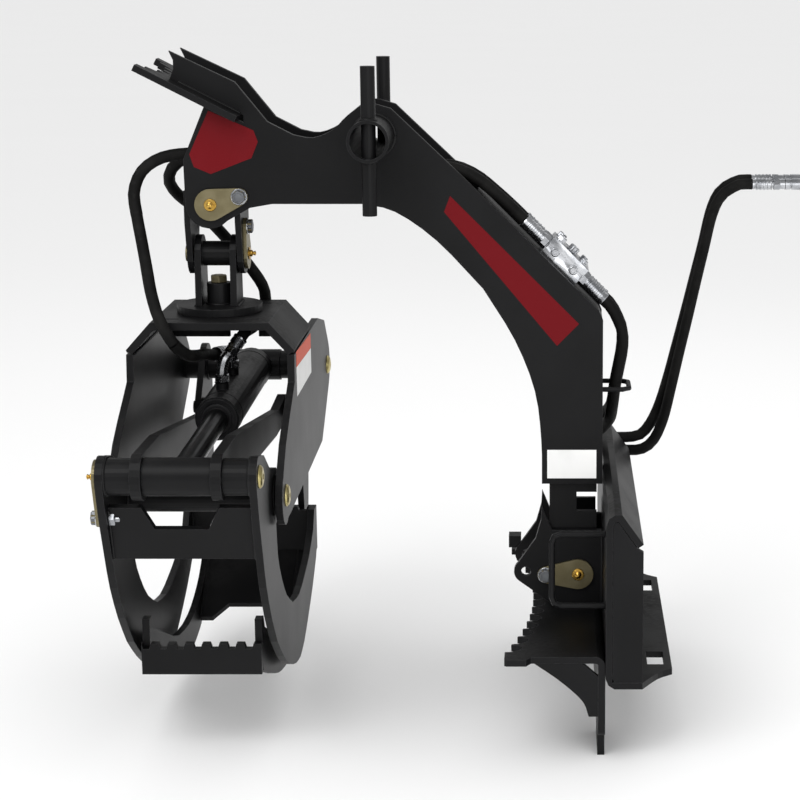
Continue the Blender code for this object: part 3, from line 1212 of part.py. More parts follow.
def supply_hoses(root, places, down):
    """The two hoses from the valve down the pillar and round the mount to the loader's quick couplers."""
    ends = (("near", -1, SUPPLY_NEAR_ROUTE, COUPLER_NEAR), ("far", 1, SUPPLY_FAR_ROUTE, COUPLER_FAR))
    for word, side, route, end in ends:
        points = hose_stretches(places[1, side], down, (route,), Vector(end) - Vector((SEAT, 0, 0)), (-1, 0, 0))[0]
        lay_hose(f"supply_hose_{word}", root, points)
        r = COUPLER_RADIUS * 0.85
        profile = [(0.0, 0.0), (r, 0.0), (r, 0.032), (r * 1.12, 0.033), (r * 1.12, 0.045), (COUPLER_RADIUS * 0.84, 0.046)]
        profile += [(COUPLER_RADIUS * 0.84, 0.058), (COUPLER_RADIUS * 0.94, 0.059), (COUPLER_RADIUS * 0.94, COUPLER_LENGTH)]
        publish(f"quick_coupler_{word}", root, turned(profile + [(0.0, COUPLER_LENGTH)], end, (1, 0, 0), 20), ZINC)


def main():
    clear_scene()
    root = joint_empty("mount_axis", (0, 0, 0))
    link = joint_empty("swing_axis", (HEAD_X, 0, BOOM_PIN_Z), root)
    tilt = joint_empty("tilt_axis", (HEAD_X, 0, CROSS_PIN_Z), link)
    frame = joint_empty("rotate_axis", (HEAD_X, 0, STRAP_TOP), tilt)
    near = joint_empty("near_jaw_axis", (HEAD_X, NEAR_PIVOT_Y, NEAR_PIVOT_Z), frame)
    far = joint_empty("far_jaw_axis", (HEAD_X, FAR_PIVOT_Y, FAR_PIVOT_Z), frame)
    sync = joint_empty("sync_link_axis", (HEAD_X, ROD_PIN_Y, ROD_PIN_Z), near)
    base = joint_empty("cylinder_axis", (HEAD_X, FAR_PIVOT_Y, FAR_PIVOT_Z), frame)
    slide = joint_empty("rod_axis", (HEAD_X, FAR_PIVOT_Y, FAR_PIVOT_Z), base)
    for build in (face_plate, end_plates, toothed_shelf, foot_ears, foot_plates):
        build(root)
    for build in (boom_sides, boom_webs, cross_tube, horn_plate, boom_pins, guard_loop, hose_retainer):
        build(root)
    places, down = valve(root)
    swing_link(link)
    clevis(tilt)
    for build in (crown_strap, frame_plates, swivel_bolt, jaw_pins):
        build(frame)
    near_jaw(near)
    far_jaw(far)
    sync_links(sync)
    barrel(base)
    rod(slide)
    cylinder_hoses(places, down, (root, link, tilt, frame))
    supply_hoses(root, places, down)


main()
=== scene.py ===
"""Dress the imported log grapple: hoses, fittings, welds, fasteners, bare plates and finishes.

Metres, +Z up. -X runs out along the boom, and Y across the mount.
"""

import logging
import math
from collections.abc import Callable, Sequence
from dataclasses import dataclass
from enum import Enum

import bpy
from mathutils import Matrix, Vector


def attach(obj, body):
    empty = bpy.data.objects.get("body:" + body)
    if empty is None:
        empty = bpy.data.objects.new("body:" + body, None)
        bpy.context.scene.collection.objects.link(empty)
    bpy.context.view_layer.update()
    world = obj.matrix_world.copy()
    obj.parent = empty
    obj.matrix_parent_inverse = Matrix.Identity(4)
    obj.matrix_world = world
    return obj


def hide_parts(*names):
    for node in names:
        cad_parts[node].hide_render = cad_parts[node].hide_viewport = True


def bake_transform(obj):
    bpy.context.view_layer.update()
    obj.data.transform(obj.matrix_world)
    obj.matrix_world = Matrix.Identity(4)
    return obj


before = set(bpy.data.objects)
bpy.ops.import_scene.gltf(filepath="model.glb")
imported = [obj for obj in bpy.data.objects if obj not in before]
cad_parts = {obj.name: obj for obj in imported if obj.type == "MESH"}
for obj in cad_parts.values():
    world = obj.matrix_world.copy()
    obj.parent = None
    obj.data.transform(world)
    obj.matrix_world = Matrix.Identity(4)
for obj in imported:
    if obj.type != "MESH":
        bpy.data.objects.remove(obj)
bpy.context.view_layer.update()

LOG = logging.getLogger("log_grapple")

# Places of the CAD frame that more than one sub-assembly is set from, in metres.
HEAD_X = -0.6155
BOOM_PIN_Z = 0.563
CROSS_PIN_Z = 0.480
NEAR_PIVOT = (-0.250, 0.152)
FAR_PIVOT = (0.350, 0.233)
ROD_PIVOT = (-0.411, 0.221)
BARREL_LENGTH = 0.412
BOOM_FACE_Y = -0.0560
FRAME_FACE_X = HEAD_X + 0.1295
FIT_GAP = 0.0003

Point = tuple[float, float, float]
Spot = tuple[float, float]
Settings = dict[str, object]
Inputs = dict[str | int, object]


class Field:
    """A value or vector socket of a shader, which adds a Math node for each operator."""

    def __init__(self, tree: bpy.types.NodeTree, socket: bpy.types.NodeSocket) -> None:
        """Hold the tree and the socket.

        Args:
            tree: The material's nodes.
            socket: The output that this field stands for.
        """
        self.tree = tree
        self.socket = socket

    def _with(self, operation: str, first: object, second: object) -> "Field":
        """Add a Math node and return its value."""
        return add_node(self.tree, "ShaderNodeMath", {"operation": operation}, {0: first, 1: second})

    def __add__(self, other: object) -> "Field":
        """Return self + other."""
        return self._with("ADD", self, other)

    __radd__ = __add__

    def __sub__(self, other: object) -> "Field":
        """Return self - other."""
        return self._with("SUBTRACT", self, other)

    def __rsub__(self, other: object) -> "Field":
        """Return other - self."""
        return self._with("SUBTRACT", other, self)

    def __mul__(self, other: object) -> "Field":
        """Return self * other."""
        return self._with("MULTIPLY", self, other)

    __rmul__ = __mul__

    def over(self, low: float, high: float) -> "Field":
        """Return 0 below low and 1 above high, smooth between them.

        Args:
            low: The value that gives 0.
            high: The value that gives 1.

        Returns:
            The mask.
        """
        settings = {"interpolation_type": "SMOOTHSTEP"}
        return add_node(self.tree, "ShaderNodeMapRange", settings, {0: self, 1: low, 2: high, 3: 0.0, 4: 1.0})


def add_node(
    tree: bpy.types.NodeTree,
    kind: str,
    settings: Settings | None = None,
    inputs: Inputs | None = None,
    output: str | int = 0,
) -> Field:
    """Add a node, make its settings, then fill its sockets.

    Args:
        tree: The nodes to add to.
        kind: The node's type.
        settings: Its properties by name.
        inputs: Its sockets by name or index, as fields or plain values.
        output: The output that is returned.

    Returns:
        The chosen output as a field.
    """
    node = tree.nodes.new(kind)
    for name, value in (settings or {}).items():
        setattr(node, name, value)
    for name, value in (inputs or {}).items():
        if isinstance(value, Field):
            tree.links.new(value.socket, node.inputs[name])
        else:
            node.inputs[name].default_value = value
    return Field(tree, node.outputs[output])


def tint(tree: bpy.types.NodeTree, mask: Field, below: object, above: object) -> Field:
    """Mix two colours by a mask.

    Args:
        tree: The nodes to add to.
        mask: 0 gives below and 1 gives above.
        below: A field, or red, green and blue.
        above: The same.

    Returns:
        The mixed colour.
    """
    pair = [c if isinstance(c, Field) else (*c, 1.0) for c in (below, above)]
    settings = {"data_type": "RGBA"}
    return add_node(tree, "ShaderNodeMix", settings, {0: mask, 6: pair[0], 7: pair[1]}, 2)


@dataclass(frozen=True)
class Finish:
    """What every finish has: its name and its plain shader values."""

    name: str
    colour: Point
    roughness: float
    metallic: float = 0.0

    def material(self) -> bpy.types.Material:
        """Return this finish's material, making it the first time."""
        found = bpy.data.materials.get(f"{self.name}_finish")
        if found:
            return found
        made = bpy.data.materials.new(f"{self.name}_finish")
        made.use_nodes = True
        tree = made.node_tree
        shader = tree.nodes["Principled BSDF"]
        shader.inputs["Metallic"].default_value = self.metallic
        self.dress(tree, shader)
        return made

    def dress(self, tree: bpy.types.NodeTree, shader: bpy.types.Node) -> None:
        """Add the nodes of this finish; each kind of finish has its own."""
        raise NotImplementedError

    def place(self, tree: bpy.types.NodeTree, stretch: Point = (1.0, 1.0, 1.0)) -> Field:
        """Return Object coordinates, stretched if asked."""
        raw = add_node(tree, "ShaderNodeTexCoord", output="Object")
        return add_node(tree, "ShaderNodeMapping", None, {"Vector": raw, "Scale": stretch})

    def noise(self, tree: bpy.types.NodeTree, at: Field, scale: float, detail: float = 3.0) -> Field:
        """Return a noise between 0 and 1."""
        return add_node(tree, "ShaderNodeTexNoise", None, {"Vector": at, "Scale": scale, "Detail": detail})

    def edge(self, tree: bpy.types.NodeTree, rounded: Field) -> Field:
        """Return how far the rounded normal turns from the flat one: 0 on a face, more on an edge."""
        flat = add_node(tree, "ShaderNodeNewGeometry", output="Normal")
        turn = add_node(tree, "ShaderNodeVectorMath", {"operation": "DOT_PRODUCT"}, {0: rounded, 1: flat}, 1)
        return 1.0 - turn

    def link(self, shader: bpy.types.Node, name: str, field: Field) -> None:
        """Link a field to one of the shader's sockets."""
        field.tree.links.new(field.socket, shader.inputs[name])


@dataclass(frozen=True)
class PowderCoat(Finish):
    """Satin black powder coat: orange peel, a painted highlight that lightens the edges, a little dust where
    it faces up.
    """

    # The colour of the painted highlight on the rounded edges.
    edge_highlight_colour: Point = (0.042, 0.042, 0.044)
    dust_colour: Point = (0.026, 0.025, 0.024)
    edge_radius: float = 0.0014
    peel: float = 0.16
    gloss: float = 0.14

    def dress(self, tree: bpy.types.NodeTree, shader: bpy.types.Node) -> None:
        """Add the coat's nodes."""
        at = self.place(tree)
        rounded = add_node(tree, "ShaderNodeBevel", {"samples": 4}, {"Radius": self.edge_radius})
        broad = self.noise(tree, at, 9.0)
        speck = self.noise(tree, at, 150.0, 4.0)
        fine = self.noise(tree, at, 720.0, 1.0)
        flat = add_node(tree, "ShaderNodeNewGeometry", output="Normal")
        up = add_node(tree, "ShaderNodeSeparateXYZ", None, {0: flat}, 2)
        dust = up.over(0.35, 1.0) * broad.over(0.38, 0.72) * speck.over(0.30, 0.62)
        # Painted highlight: the rounded edges are lightened, broken up by a speckle, and made a little
        # glossier.
        edge_highlight_mask = self.edge(tree, rounded).over(0.02, 0.16) * speck.over(0.30, 0.50)
        darker = tuple(0.72 * c for c in self.colour)
        base = tint(tree, broad.over(0.30, 0.70), darker, self.colour)
        base = tint(tree, dust * 0.30, base, self.dust_colour)
        self.link(shader, "Base Color", tint(tree, edge_highlight_mask * 0.85, base, self.edge_highlight_colour))
        self.link(shader, "Roughness", self.roughness + broad * 0.10 + dust * 0.18 - edge_highlight_mask * 0.06)
        inputs = {"Strength": self.peel, "Distance": 0.0004, "Height": fine + speck * 0.6, "Normal": rounded}
        self.link(shader, "Normal", add_node(tree, "ShaderNodeBump", None, inputs))
        shader.inputs["Specular IOR Level"].default_value = self.gloss


@dataclass(frozen=True)
class Plating(Finish):
    """Zinc plate, clear or yellow: a cloudy passivated tone, a fine grain, dull spots and a painted highlight
    on the edges.
    """

    second: Point = (0.60, 0.61, 0.64)

    def dress(self, tree: bpy.types.NodeTree, shader: bpy.types.Node) -> None:
        """Add the plating's nodes."""
        at = self.place(tree)
        rounded = add_node(tree, "ShaderNodeBevel", {"samples": 4}, {"Radius": 0.0006})
        cloud = self.noise(tree, at, 45.0, 4.0)
        grain = self.noise(tree, at, 900.0, 2.0)
        spots = self.noise(tree, at, 260.0, 3.0)
        # Painted highlight: the rounded edges get a brighter plating colour.
        bright = tuple(min(1.0, 1.18 * c) for c in self.colour)
        base = tint(tree, cloud.over(0.35, 0.66), self.colour, self.second)
        base = tint(tree, self.edge(tree, rounded).over(0.03, 0.25), base, bright)
        self.link(shader, "Base Color", base)
        self.link(shader, "Roughness", self.roughness + cloud * 0.14 + spots.over(0.58, 0.70) * 0.14)
        inputs = {"Strength": 0.10, "Distance": 0.0002, "Height": grain + cloud, "Normal": rounded}
        self.link(shader, "Normal", add_node(tree, "ShaderNodeBump", None, inputs))


@dataclass(frozen=True)
class Chrome(Finish):
    """Dark hard chrome of a cylinder rod: ground lines and a thin film of oil."""

    def dress(self, tree: bpy.types.NodeTree, shader: bpy.types.Node) -> None:
        """Add the chrome's nodes."""
        ground = self.noise(tree, self.place(tree, (1.0, 0.05, 1.0)), 1400.0, 2.0)
        film = self.noise(tree, self.place(tree), 30.0, 3.0)
        darker = tuple(0.62 * c for c in self.colour)
        self.link(shader, "Base Color", tint(tree, film.over(0.35, 0.70), self.colour, darker))
        self.link(shader, "Roughness", self.roughness + film * 0.12 + ground * 0.06)
        inputs = {"Strength": 0.06, "Distance": 0.0001, "Height": ground}
        self.link(shader, "Normal", add_node(tree, "ShaderNodeBump", None, inputs))


@dataclass(frozen=True)
class Rubber(Finish):
    """Hose cover cured in a cloth wrap: matt, with a fine weave pressed in and dry patches."""

    dry: Point = (0.0135, 0.0130, 0.0122)

    def dress(self, tree: bpy.types.NodeTree, shader: bpy.types.Node) -> None:
        """Add the rubber's nodes."""
        at = self.place(tree)
        patch = self.noise(tree, at, 26.0, 4.0)
        weave = add_node(tree, "ShaderNodeTexVoronoi", None, {"Vector": at, "Scale": 950.0})
        rub = self.noise(tree, at, 110.0, 3.0)
        base = tint(tree, patch.over(0.38, 0.75) * 0.6, self.colour, self.dry)
        self.link(shader, "Base Color", tint(tree, rub.over(0.60, 0.74) * 0.4, base, self.dry))
        self.link(shader, "Roughness", self.roughness + patch * 0.16 - rub.over(0.55, 0.75) * 0.10)
        inputs = {"Strength": 0.22, "Distance": 0.0003, "Height": weave + rub * 0.5}
        self.link(shader, "Normal", add_node(tree, "ShaderNodeBump", None, inputs))
        shader.inputs["Specular IOR Level"].default_value = 0.10


@dataclass(frozen=True)
class Film(Finish):
    """Printed vinyl with nothing on it: a slight emboss, dust at random and a soft sheen."""

    dull: Point = (0.30, 0.30, 0.30)

    def dress(self, tree: bpy.types.NodeTree, shader: bpy.types.Node) -> None:
        """Add the film's nodes."""
        at = self.place(tree)
        broad = self.noise(tree, at, 22.0, 3.0)
        fine = self.noise(tree, at, 600.0, 2.0)
        self.link(shader, "Base Color", tint(tree, broad.over(0.45, 0.85) * 0.5, self.colour, self.dull))
        self.link(shader, "Roughness", self.roughness + broad * 0.15)
        inputs = {"Strength": 0.08, "Distance": 0.0002, "Height": fine}
        self.link(shader, "Normal", add_node(tree, "ShaderNodeBump", None, inputs))
        shader.inputs["Specular IOR Level"].default_value = 0.12


@dataclass(frozen=True)
class Ground(Finish):
    """The studio's pale floor."""

    def dress(self, tree: bpy.types.NodeTree, shader: bpy.types.Node) -> None:
        """Add the floor's nodes."""
        broad = self.noise(tree, self.place(tree), 0.8, 2.0)
        warmer = tuple(0.985 * c for c in self.colour)
        self.link(shader, "Base Color", tint(tree, broad, self.colour, warmer))
        self.link(shader, "Roughness", self.roughness + broad * 0.05)


class Look(Enum):
    """The finishes of this machine."""

    COAT = PowderCoat("black_paint", (0.0066, 0.0066, 0.0071), 0.36)
    BEAD = PowderCoat(
        "painted_bead", (0.0076, 0.0076, 0.0081), 0.34, edge_radius=0.0004, peel=0.10, gloss=0.20
    )
    ZINC = Plating("bright_zinc", (0.55, 0.56, 0.58), 0.17, 1.0, second=(0.33, 0.34, 0.36))
    STEEL = Plating("dull_zinc", (0.135, 0.140, 0.150), 0.32, 0.9, second=(0.20, 0.21, 0.22))
    GOLD = Plating("yellow_zinc", (0.175, 0.150, 0.083), 0.34, 0.85, second=(0.215, 0.186, 0.108))
    BRASS = Plating("pin_plate", (0.47, 0.40, 0.17), 0.24, 1.0, second=(0.56, 0.48, 0.23))
    ZERK = Plating("fitting_brass", (0.46, 0.27, 0.05), 0.20, 1.0, second=(0.60, 0.38, 0.09))
    CHROME = Chrome("hard_chrome", (0.052, 0.053, 0.056), 0.22, 1.0)
    HOSE = Rubber("hose_rubber", (0.0042, 0.0041, 0.0040), 0.58)
    SEAL = Rubber("seal_rubber", (0.0045, 0.0045, 0.0050), 0.45)
    RED = Film("red_vinyl", (0.122, 0.0012, 0.0040), 0.45, dull=(0.130, 0.004, 0.008))
    AMBER = Film("signal_vinyl", (0.62, 0.085, 0.035), 0.42, dull=(0.56, 0.12, 0.07))
    WHITE = Film("white_vinyl", (0.80, 0.80, 0.79), 0.40, dull=(0.66, 0.66, 0.65))
    PALE = Ground("pale_floor", (0.86, 0.86, 0.86), 0.85)


class Bench:
    """The modelling tools that every sub-assembly shares."""

    made: int = 0

    @staticmethod
    def clear() -> None:
        """Leave edit mode if need be and deselect everything."""
        if bpy.context.mode != "OBJECT":
            bpy.ops.object.mode_set(mode="OBJECT")
        bpy.ops.object.select_all(action="DESELECT")

    @staticmethod
    def pick(obj: bpy.types.Object) -> None:
        """Select one object alone and make it active."""
        Bench.clear()
        obj.select_set(True)
        bpy.context.view_layer.objects.active = obj

    @staticmethod
    def set_down(
        obj: bpy.types.Object, origin: Sequence[float], axis: Sequence[float], turn: float = 0.0
    ) -> None:
        """Stand a piece that was made round +Z at a place, and put the place in its mesh.

        Args:
            obj: The piece.
            origin: Where its own origin goes.
            axis: Where its +Z goes.
            turn: Degrees about that axis first.
        """
        Bench.pick(obj)
        stand = Vector((0, 0, 1)).rotation_difference(Vector(axis).normalized()).to_matrix().to_4x4()
        spin = Matrix.Rotation(math.radians(turn), 4, "Z")
        obj.matrix_world = Matrix.Translation(Vector(origin)) @ stand @ spin
        bpy.ops.object.transform_apply(location=True, rotation=True, scale=True)

    @staticmethod
    def lathe(name: str, profile: Sequence[Spot], sides: int = 24) -> bpy.types.Object:
        """Turn a solid round +Z: a filled ring that is extruded and resized at each step.

        Args:
            name: The piece's name.
            profile: (radius, height) from the foot up.
            sides: 6 for a hexagon, more for a round.

        Returns:
            The closed piece.
        """
        Bench.clear()
        radius, height = profile[0]
        bpy.ops.mesh.primitive_circle_add(
            vertices=sides, radius=radius, fill_type="NGON", location=(0, 0, height), enter_editmode=True
        )
        bpy.ops.mesh.select_mode(type="FACE")
        bpy.ops.mesh.select_all(action="SELECT")
        for wide, high in profile[1:]:
            move = {"value": (0.0, 0.0, high - height)}
            bpy.ops.mesh.extrude_region_move(TRANSFORM_OT_translate=move)
            if wide != radius:
                share = wide / radius
                bpy.ops.transform.resize(value=(share, share, 1.0), center_override=(0.0, 0.0, high))
            radius, height = wide, high
        bpy.ops.mesh.select_all(action="SELECT")
        bpy.ops.mesh.normals_make_consistent(inside=False)
        bpy.ops.object.mode_set(mode="OBJECT")
        bpy.ops.object.transform_apply(location=True, rotation=False, scale=False)
        made = bpy.context.object
        made.name = name
        return made

    @staticmethod
    def plate(name: str, outline: Sequence[Point], thickness: Sequence[float]) -> bpy.types.Object:
        """Make a thin plate from an outline in space.

        Args:
            name: The piece's name.
            outline: Its corners in the row frame.
            thickness: How far, and which way, it is extruded.

        Returns:
            The closed plate.
        """
        Bench.clear()
        bpy.ops.mesh.primitive_circle_add(vertices=len(outline), radius=0.01, fill_type="NGON")
        made = bpy.context.object
        made.name = name
        for vertex, spot in zip(made.data.vertices, outline):
            vertex.co = spot
        bpy.ops.object.mode_set(mode="EDIT")
        bpy.ops.mesh.select_all(action="SELECT")
        bpy.ops.mesh.extrude_region_move(TRANSFORM_OT_translate={"value": tuple(thickness)})
        bpy.ops.mesh.select_all(action="SELECT")
        bpy.ops.mesh.normals_make_consistent(inside=False)
        bpy.ops.object.mode_set(mode="OBJECT")
        return made

    @staticmethod
    def sweep(
        name: str, points: Sequence[Sequence[float]], radii: Sequence[float], sides: int = 16
    ) -> bpy.types.Object:
        """Draw a curve through points and make it a round bar with its own radius at each.

        Args:
            name: The piece's name.
            points: The middle line, close enough together to look smooth.
            radii: One radius for each point.
            sides: Faces round the bar, in fours.

        Returns:
            The bar as a closed mesh.
        """
        Bench.clear()
        bpy.ops.curve.primitive_bezier_curve_add()
        made = bpy.context.object
        made.name = name
        line = made.data
        line.splines.clear()
        line.dimensions = "3D"
        line.twist_mode = "MINIMUM"
        line.bevel_depth = 1.0
        line.bevel_resolution = sides // 4 - 1
        line.use_fill_caps = True
        spline = line.splines.new("POLY")
        spline.points.add(len(points) - 1)
        for slot, point, radius in zip(spline.points, points, radii):
            slot.co = (*point, 1.0)
            slot.radius = radius
        bpy.ops.object.convert(target="MESH")
        made = bpy.context.object
        bpy.ops.object.mode_set(mode="EDIT")
        bpy.ops.mesh.select_all(action="SELECT")
        bpy.ops.mesh.remove_doubles(threshold=0.00001)
        bpy.ops.mesh.normals_make_consistent(inside=False)
        bpy.ops.object.mode_set(mode="OBJECT")
        return made

    @staticmethod
    def soften(obj: bpy.types.Object, width: float, segments: int = 2, angle: float = 35.0) -> None:
        """Bevel a piece's sharp edges with a modifier, and apply it."""
        Bench.pick(obj)
        step = obj.modifiers.new("soft_edge", "BEVEL")
        step.width = width
        step.segments = segments
        step.limit_method = "ANGLE"
        step.angle_limit = math.radians(angle)
        bpy.ops.object.modifier_apply(modifier=step.name)

    @staticmethod
    def join(name: str, parts: Sequence[bpy.types.Object]) -> bpy.types.Object:
        """Join parts into one object.

        Args:
            name: The name of the whole.
            parts: The objects, at least one.

        Returns:
            The joined object.
        """
        Bench.pick(parts[0])
        for part in parts[1:]:
            part.select_set(True)
        if len(parts) > 1:
            bpy.ops.object.join()
        parts[0].name = name
        return parts[0]

    @staticmethod
    def done(obj: bpy.types.Object, look: Look, body: str | None, smooth: float = 40.0) -> bpy.types.Object:
        """Give a piece its finish, its shading and the body that it rides on.

        Args:
            obj: The piece, with its place in its mesh.
            look: Its finish.
            body: The CAD body, or None to leave it on no body.
            smooth: The angle in degrees past which an edge stays sharp.

        Returns:
            The piece.
        """
        Bench.pick(obj)
        bpy.ops.object.transform_apply(location=True, rotation=True, scale=True)
        bpy.ops.object.shade_smooth_by_angle(angle=math.radians(smooth))
        obj.data.materials.clear()
        obj.data.materials.append(look.value.material())
        if body:
            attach(obj, body)
        Bench.made += 1
        LOG.info("%s: %d faces, %s", obj.name, len(obj.data.polygons), look.value.name)
        return obj

    @staticmethod
    def turned(
        name: str,
        profile: Sequence[Spot],
        sides: int,
        spot: Sequence[float],
        axis: Sequence[float],
        look: Look,
        body: str,
        smooth: float = 40.0,
    ) -> bpy.types.Object:
        """Turn a piece, stand it at its place and finish it.

        Args:
            name: The piece's name.
            profile: (radius, height) from the foot up.
            sides: 6 for a hexagon, more for a round.
            spot: Where its foot goes.
            axis: The way it stands.
            look: Its finish.
            body: The CAD body that it rides on.
            smooth: The angle in degrees past which an edge stays sharp.

        Returns:
            The piece.
        """
        part = Bench.lathe(name, profile, sides)
        Bench.set_down(part, spot, axis)
        return Bench.done(part, look, body, smooth)


def through(points: Sequence[Sequence[float]], count: int) -> list[Vector]:
    """Return a smooth open curve through points.

    Args:
        points: The points that it passes.
        count: Steps from each point to the next.

    Returns:
        The curve's points.
    """
    spots = [Vector(p) for p in points]
    spots = [2 * spots[0] - spots[1], *spots, 2 * spots[-1] - spots[-2]]
    curve = []
    for a, b, c, d in zip(spots, spots[1:], spots[2:], spots[3:]):
        for step in range(count):
            t = step / count
            square = (2 * a - 5 * b + 4 * c - d) * t**2
            cube = (3 * b - a - 3 * c + d) * t**3
            curve.append(0.5 * ((2 * b) + (c - a) * t + square + cube))
    curve.append(spots[-2])
    return curve


def ring(centre: Sequence[float], axis: Sequence[float], radius: float, count: int = 48) -> list[Vector]:
    """Return points round a circle, closed.

    Args:
        centre: Its middle.
        axis: The way it faces.
        radius: Its radius.
        count: Steps round it.

    Returns:
        The points, the last one on the first.
    """
    stand = Vector((0, 0, 1)).rotation_difference(Vector(axis).normalized())
    steps = [2 * math.pi * i / count for i in range(count + 1)]
    return [Vector(centre) + stand @ Vector((radius * math.cos(t), radius * math.sin(t), 0.0)) for t in steps]


@dataclass
class Studio:
    """The camera of the photograph, a pale floor and soft light."""

    camera_place: Point = (-0.090, -3.28, 0.945)
    camera_tilt: float = 77.93
    lens: float = 94.5
    sensor: float = 36.0
    far_clip: float = 1000.0
    shift: float = -0.19
    floor_z: float = -0.2537
    floor_size: float = 600.0
    surround: float = 1.02
    reflected: float = 0.42
    target: Point = (-0.35, 0.0, 0.25)

    def camera(self) -> None:
        """Set up the camera."""
        data = bpy.data.cameras.new("photo_camera")
        data.lens = self.lens
        data.sensor_width = self.sensor
        data.shift_x = self.shift
        data.clip_end = self.far_clip
        camera = bpy.data.objects.new("photo_camera", data)
        bpy.context.scene.collection.objects.link(camera)
        camera.location = self.camera_place
        camera.rotation_euler = (math.radians(self.camera_tilt), 0.0, 0.0)
        bpy.context.scene.camera = camera

    def light(self, name: str, place: Point, size: Spot, power: float) -> None:
        """Hang a soft box that points at the target.

        Args:
            name: The light's name.
            place: Where it hangs.
            size: Its width and height.
            power: Its watts.
        """
        data = bpy.data.lights.new(name, "AREA")
        data.shape = "RECTANGLE"
        data.size, data.size_y = size
        data.energy = power
        lamp = bpy.data.objects.new(name, data)
        bpy.context.scene.collection.objects.link(lamp)
        lamp.location = place
        lamp.rotation_euler = (Vector(self.target) - Vector(place)).to_track_quat("-Z", "Y").to_euler()

    def build(self) -> None:
        """Lay the floor, light it and set the white surround."""
        Bench.clear()
        bpy.ops.mesh.primitive_plane_add(size=self.floor_size, location=(0, 0, self.floor_z))
        floor = bpy.context.object
        floor.name = "studio_floor"
        bpy.ops.object.transform_apply(location=True)
        floor.data.materials.append(Look.PALE.value.material())
        world = bpy.data.worlds.new("white_surround")
        world.use_nodes = True
        shade = world.node_tree.nodes["Background"]
        shade.inputs["Color"].default_value = (1.0, 1.0, 1.0, 1.0)
        # A mirrored ray sees a dimmer surround, so that the satin paint stays dark.
        ray = world.node_tree.nodes.new("ShaderNodeLightPath")
        dimmer = world.node_tree.nodes.new("ShaderNodeMapRange")
        dimmer.inputs["To Min"].default_value = self.surround
        dimmer.inputs["To Max"].default_value = self.reflected
        world.node_tree.links.new(ray.outputs["Is Glossy Ray"], dimmer.inputs["Value"])
        world.node_tree.links.new(dimmer.outputs["Result"], shade.inputs["Strength"])
        bpy.context.scene.world = world
        bpy.context.scene.view_settings.view_transform = "Standard"
        self.light("key_box", (-1.6, -2.4, 2.9), (2.2, 2.2), 62.0)
        self.light("front_box", (1.2, -3.4, 1.1), (2.0, 2.4), 30.0)
        self.light("back_box", (0.6, 2.6, 2.4), (2.6, 1.6), 9.0)
        LOG.info("studio: camera, floor and three soft boxes")


class Crossing(Enum):
    """The two bodies that a stretch of hose joins."""

    SWING = ("boom", "swing_link")
    TILT = ("swing_link", "clevis")
    TURN = ("clevis", "frame")
    RAM = ("frame", "barrel")


@dataclass
class Slope:
    """The boom's sloping back, where the valve sits."""

    high: Vector
    down: Vector
    out: Vector

    @classmethod
    def of_boom(cls) -> "Slope":
        """Return the slope from the boom's own corner points."""
        high = Vector((-0.205, 0.0, 0.582))
        down = (Vector((-0.0168, 0.0, 0.3925)) - high).normalized()
        return cls(high, down, Vector((-down.z, 0.0, down.x)))


@dataclass
class Elbow:
    """One bent port fitting on the barrel, with the hose's crimped end on it."""

    name: str
    port_y: float
    outlet: Point
    base: Point = (HEAD_X, *FAR_PIVOT)
    eye: Point = (HEAD_X, *ROD_PIVOT)
    barrel_radius: float = 0.035
    port_height: float = 0.010
    rise: float = 0.030
    reach: float = 0.048
    radius: float = 0.0091
    swivel_at: float = 0.020
    crimp_at: float = 0.032
    crimp_length: float = 0.021

    def up(self) -> Vector:
        """Return the way out of the barrel's top."""
        along = (Vector(self.eye) - Vector(self.base)).normalized()
        up = along.cross(Vector((1, 0, 0)))
        return up if up.z > 0 else -up

    def foot(self) -> Vector:
        """Return the middle of the port's mouth."""
        along = (Vector(self.eye) - Vector(self.base)).normalized()
        distance = (self.base[1] - self.port_y) / -along.y
        return Vector(self.base) + along * distance + self.up() * (self.barrel_radius + self.port_height)

    def side(self) -> Vector:
        """Return the way that the hose leaves."""
        return Vector(self.outlet).normalized()

    def end(self) -> Vector:
        """Return where the hose starts."""
        return self.foot() + self.up() * self.rise + self.side() * self.reach

    def build(self) -> None:
        """Build the elbow, its two nuts, its seal and the crimped sleeve."""
        foot, up, side = self.foot(), self.up(), self.side()
        top = foot + up * self.rise
        knots = [foot, foot + up * self.rise * 0.55]
        knots += [top + side * along for along in (0.006, self.swivel_at, 0.034)]
        line = through(knots, 5)
        bend = Bench.sweep(f"{self.name}_bend", line, [self.radius] * len(line))
        nut = Bench.lathe("nut", [(0.0108, 0.0), (0.0120, 0.0012), (0.0120, 0.0110), (0.0104, 0.0124)], 6)
        Bench.set_down(nut, foot + up * 0.0012, up)
        profile = [(0.0104, 0.0), (0.0116, 0.0012), (0.0116, 0.0120), (0.0102, 0.0134)]
        swivel = Bench.lathe("swivel", profile, 6)
        Bench.set_down(swivel, top + side * self.swivel_at, side, 12.0)
        whole = Bench.join(f"{self.name}_elbow", [bend, nut, swivel])
        Bench.done(whole, Look.ZINC, "barrel", 35.0)
        sleeve = Crimp(self.name).shape(self.crimp_length)
        Bench.set_down(sleeve, top + side * self.crimp_at, side)
        Bench.done(sleeve, Look.ZINC, "barrel", 30.0)
        seal = [(0.0116, 0.0), (0.0124, 0.0006), (0.0116, 0.0012)]
        Bench.turned(f"{self.name}_seal", seal, 24, foot, up, Look.SEAL, "barrel")


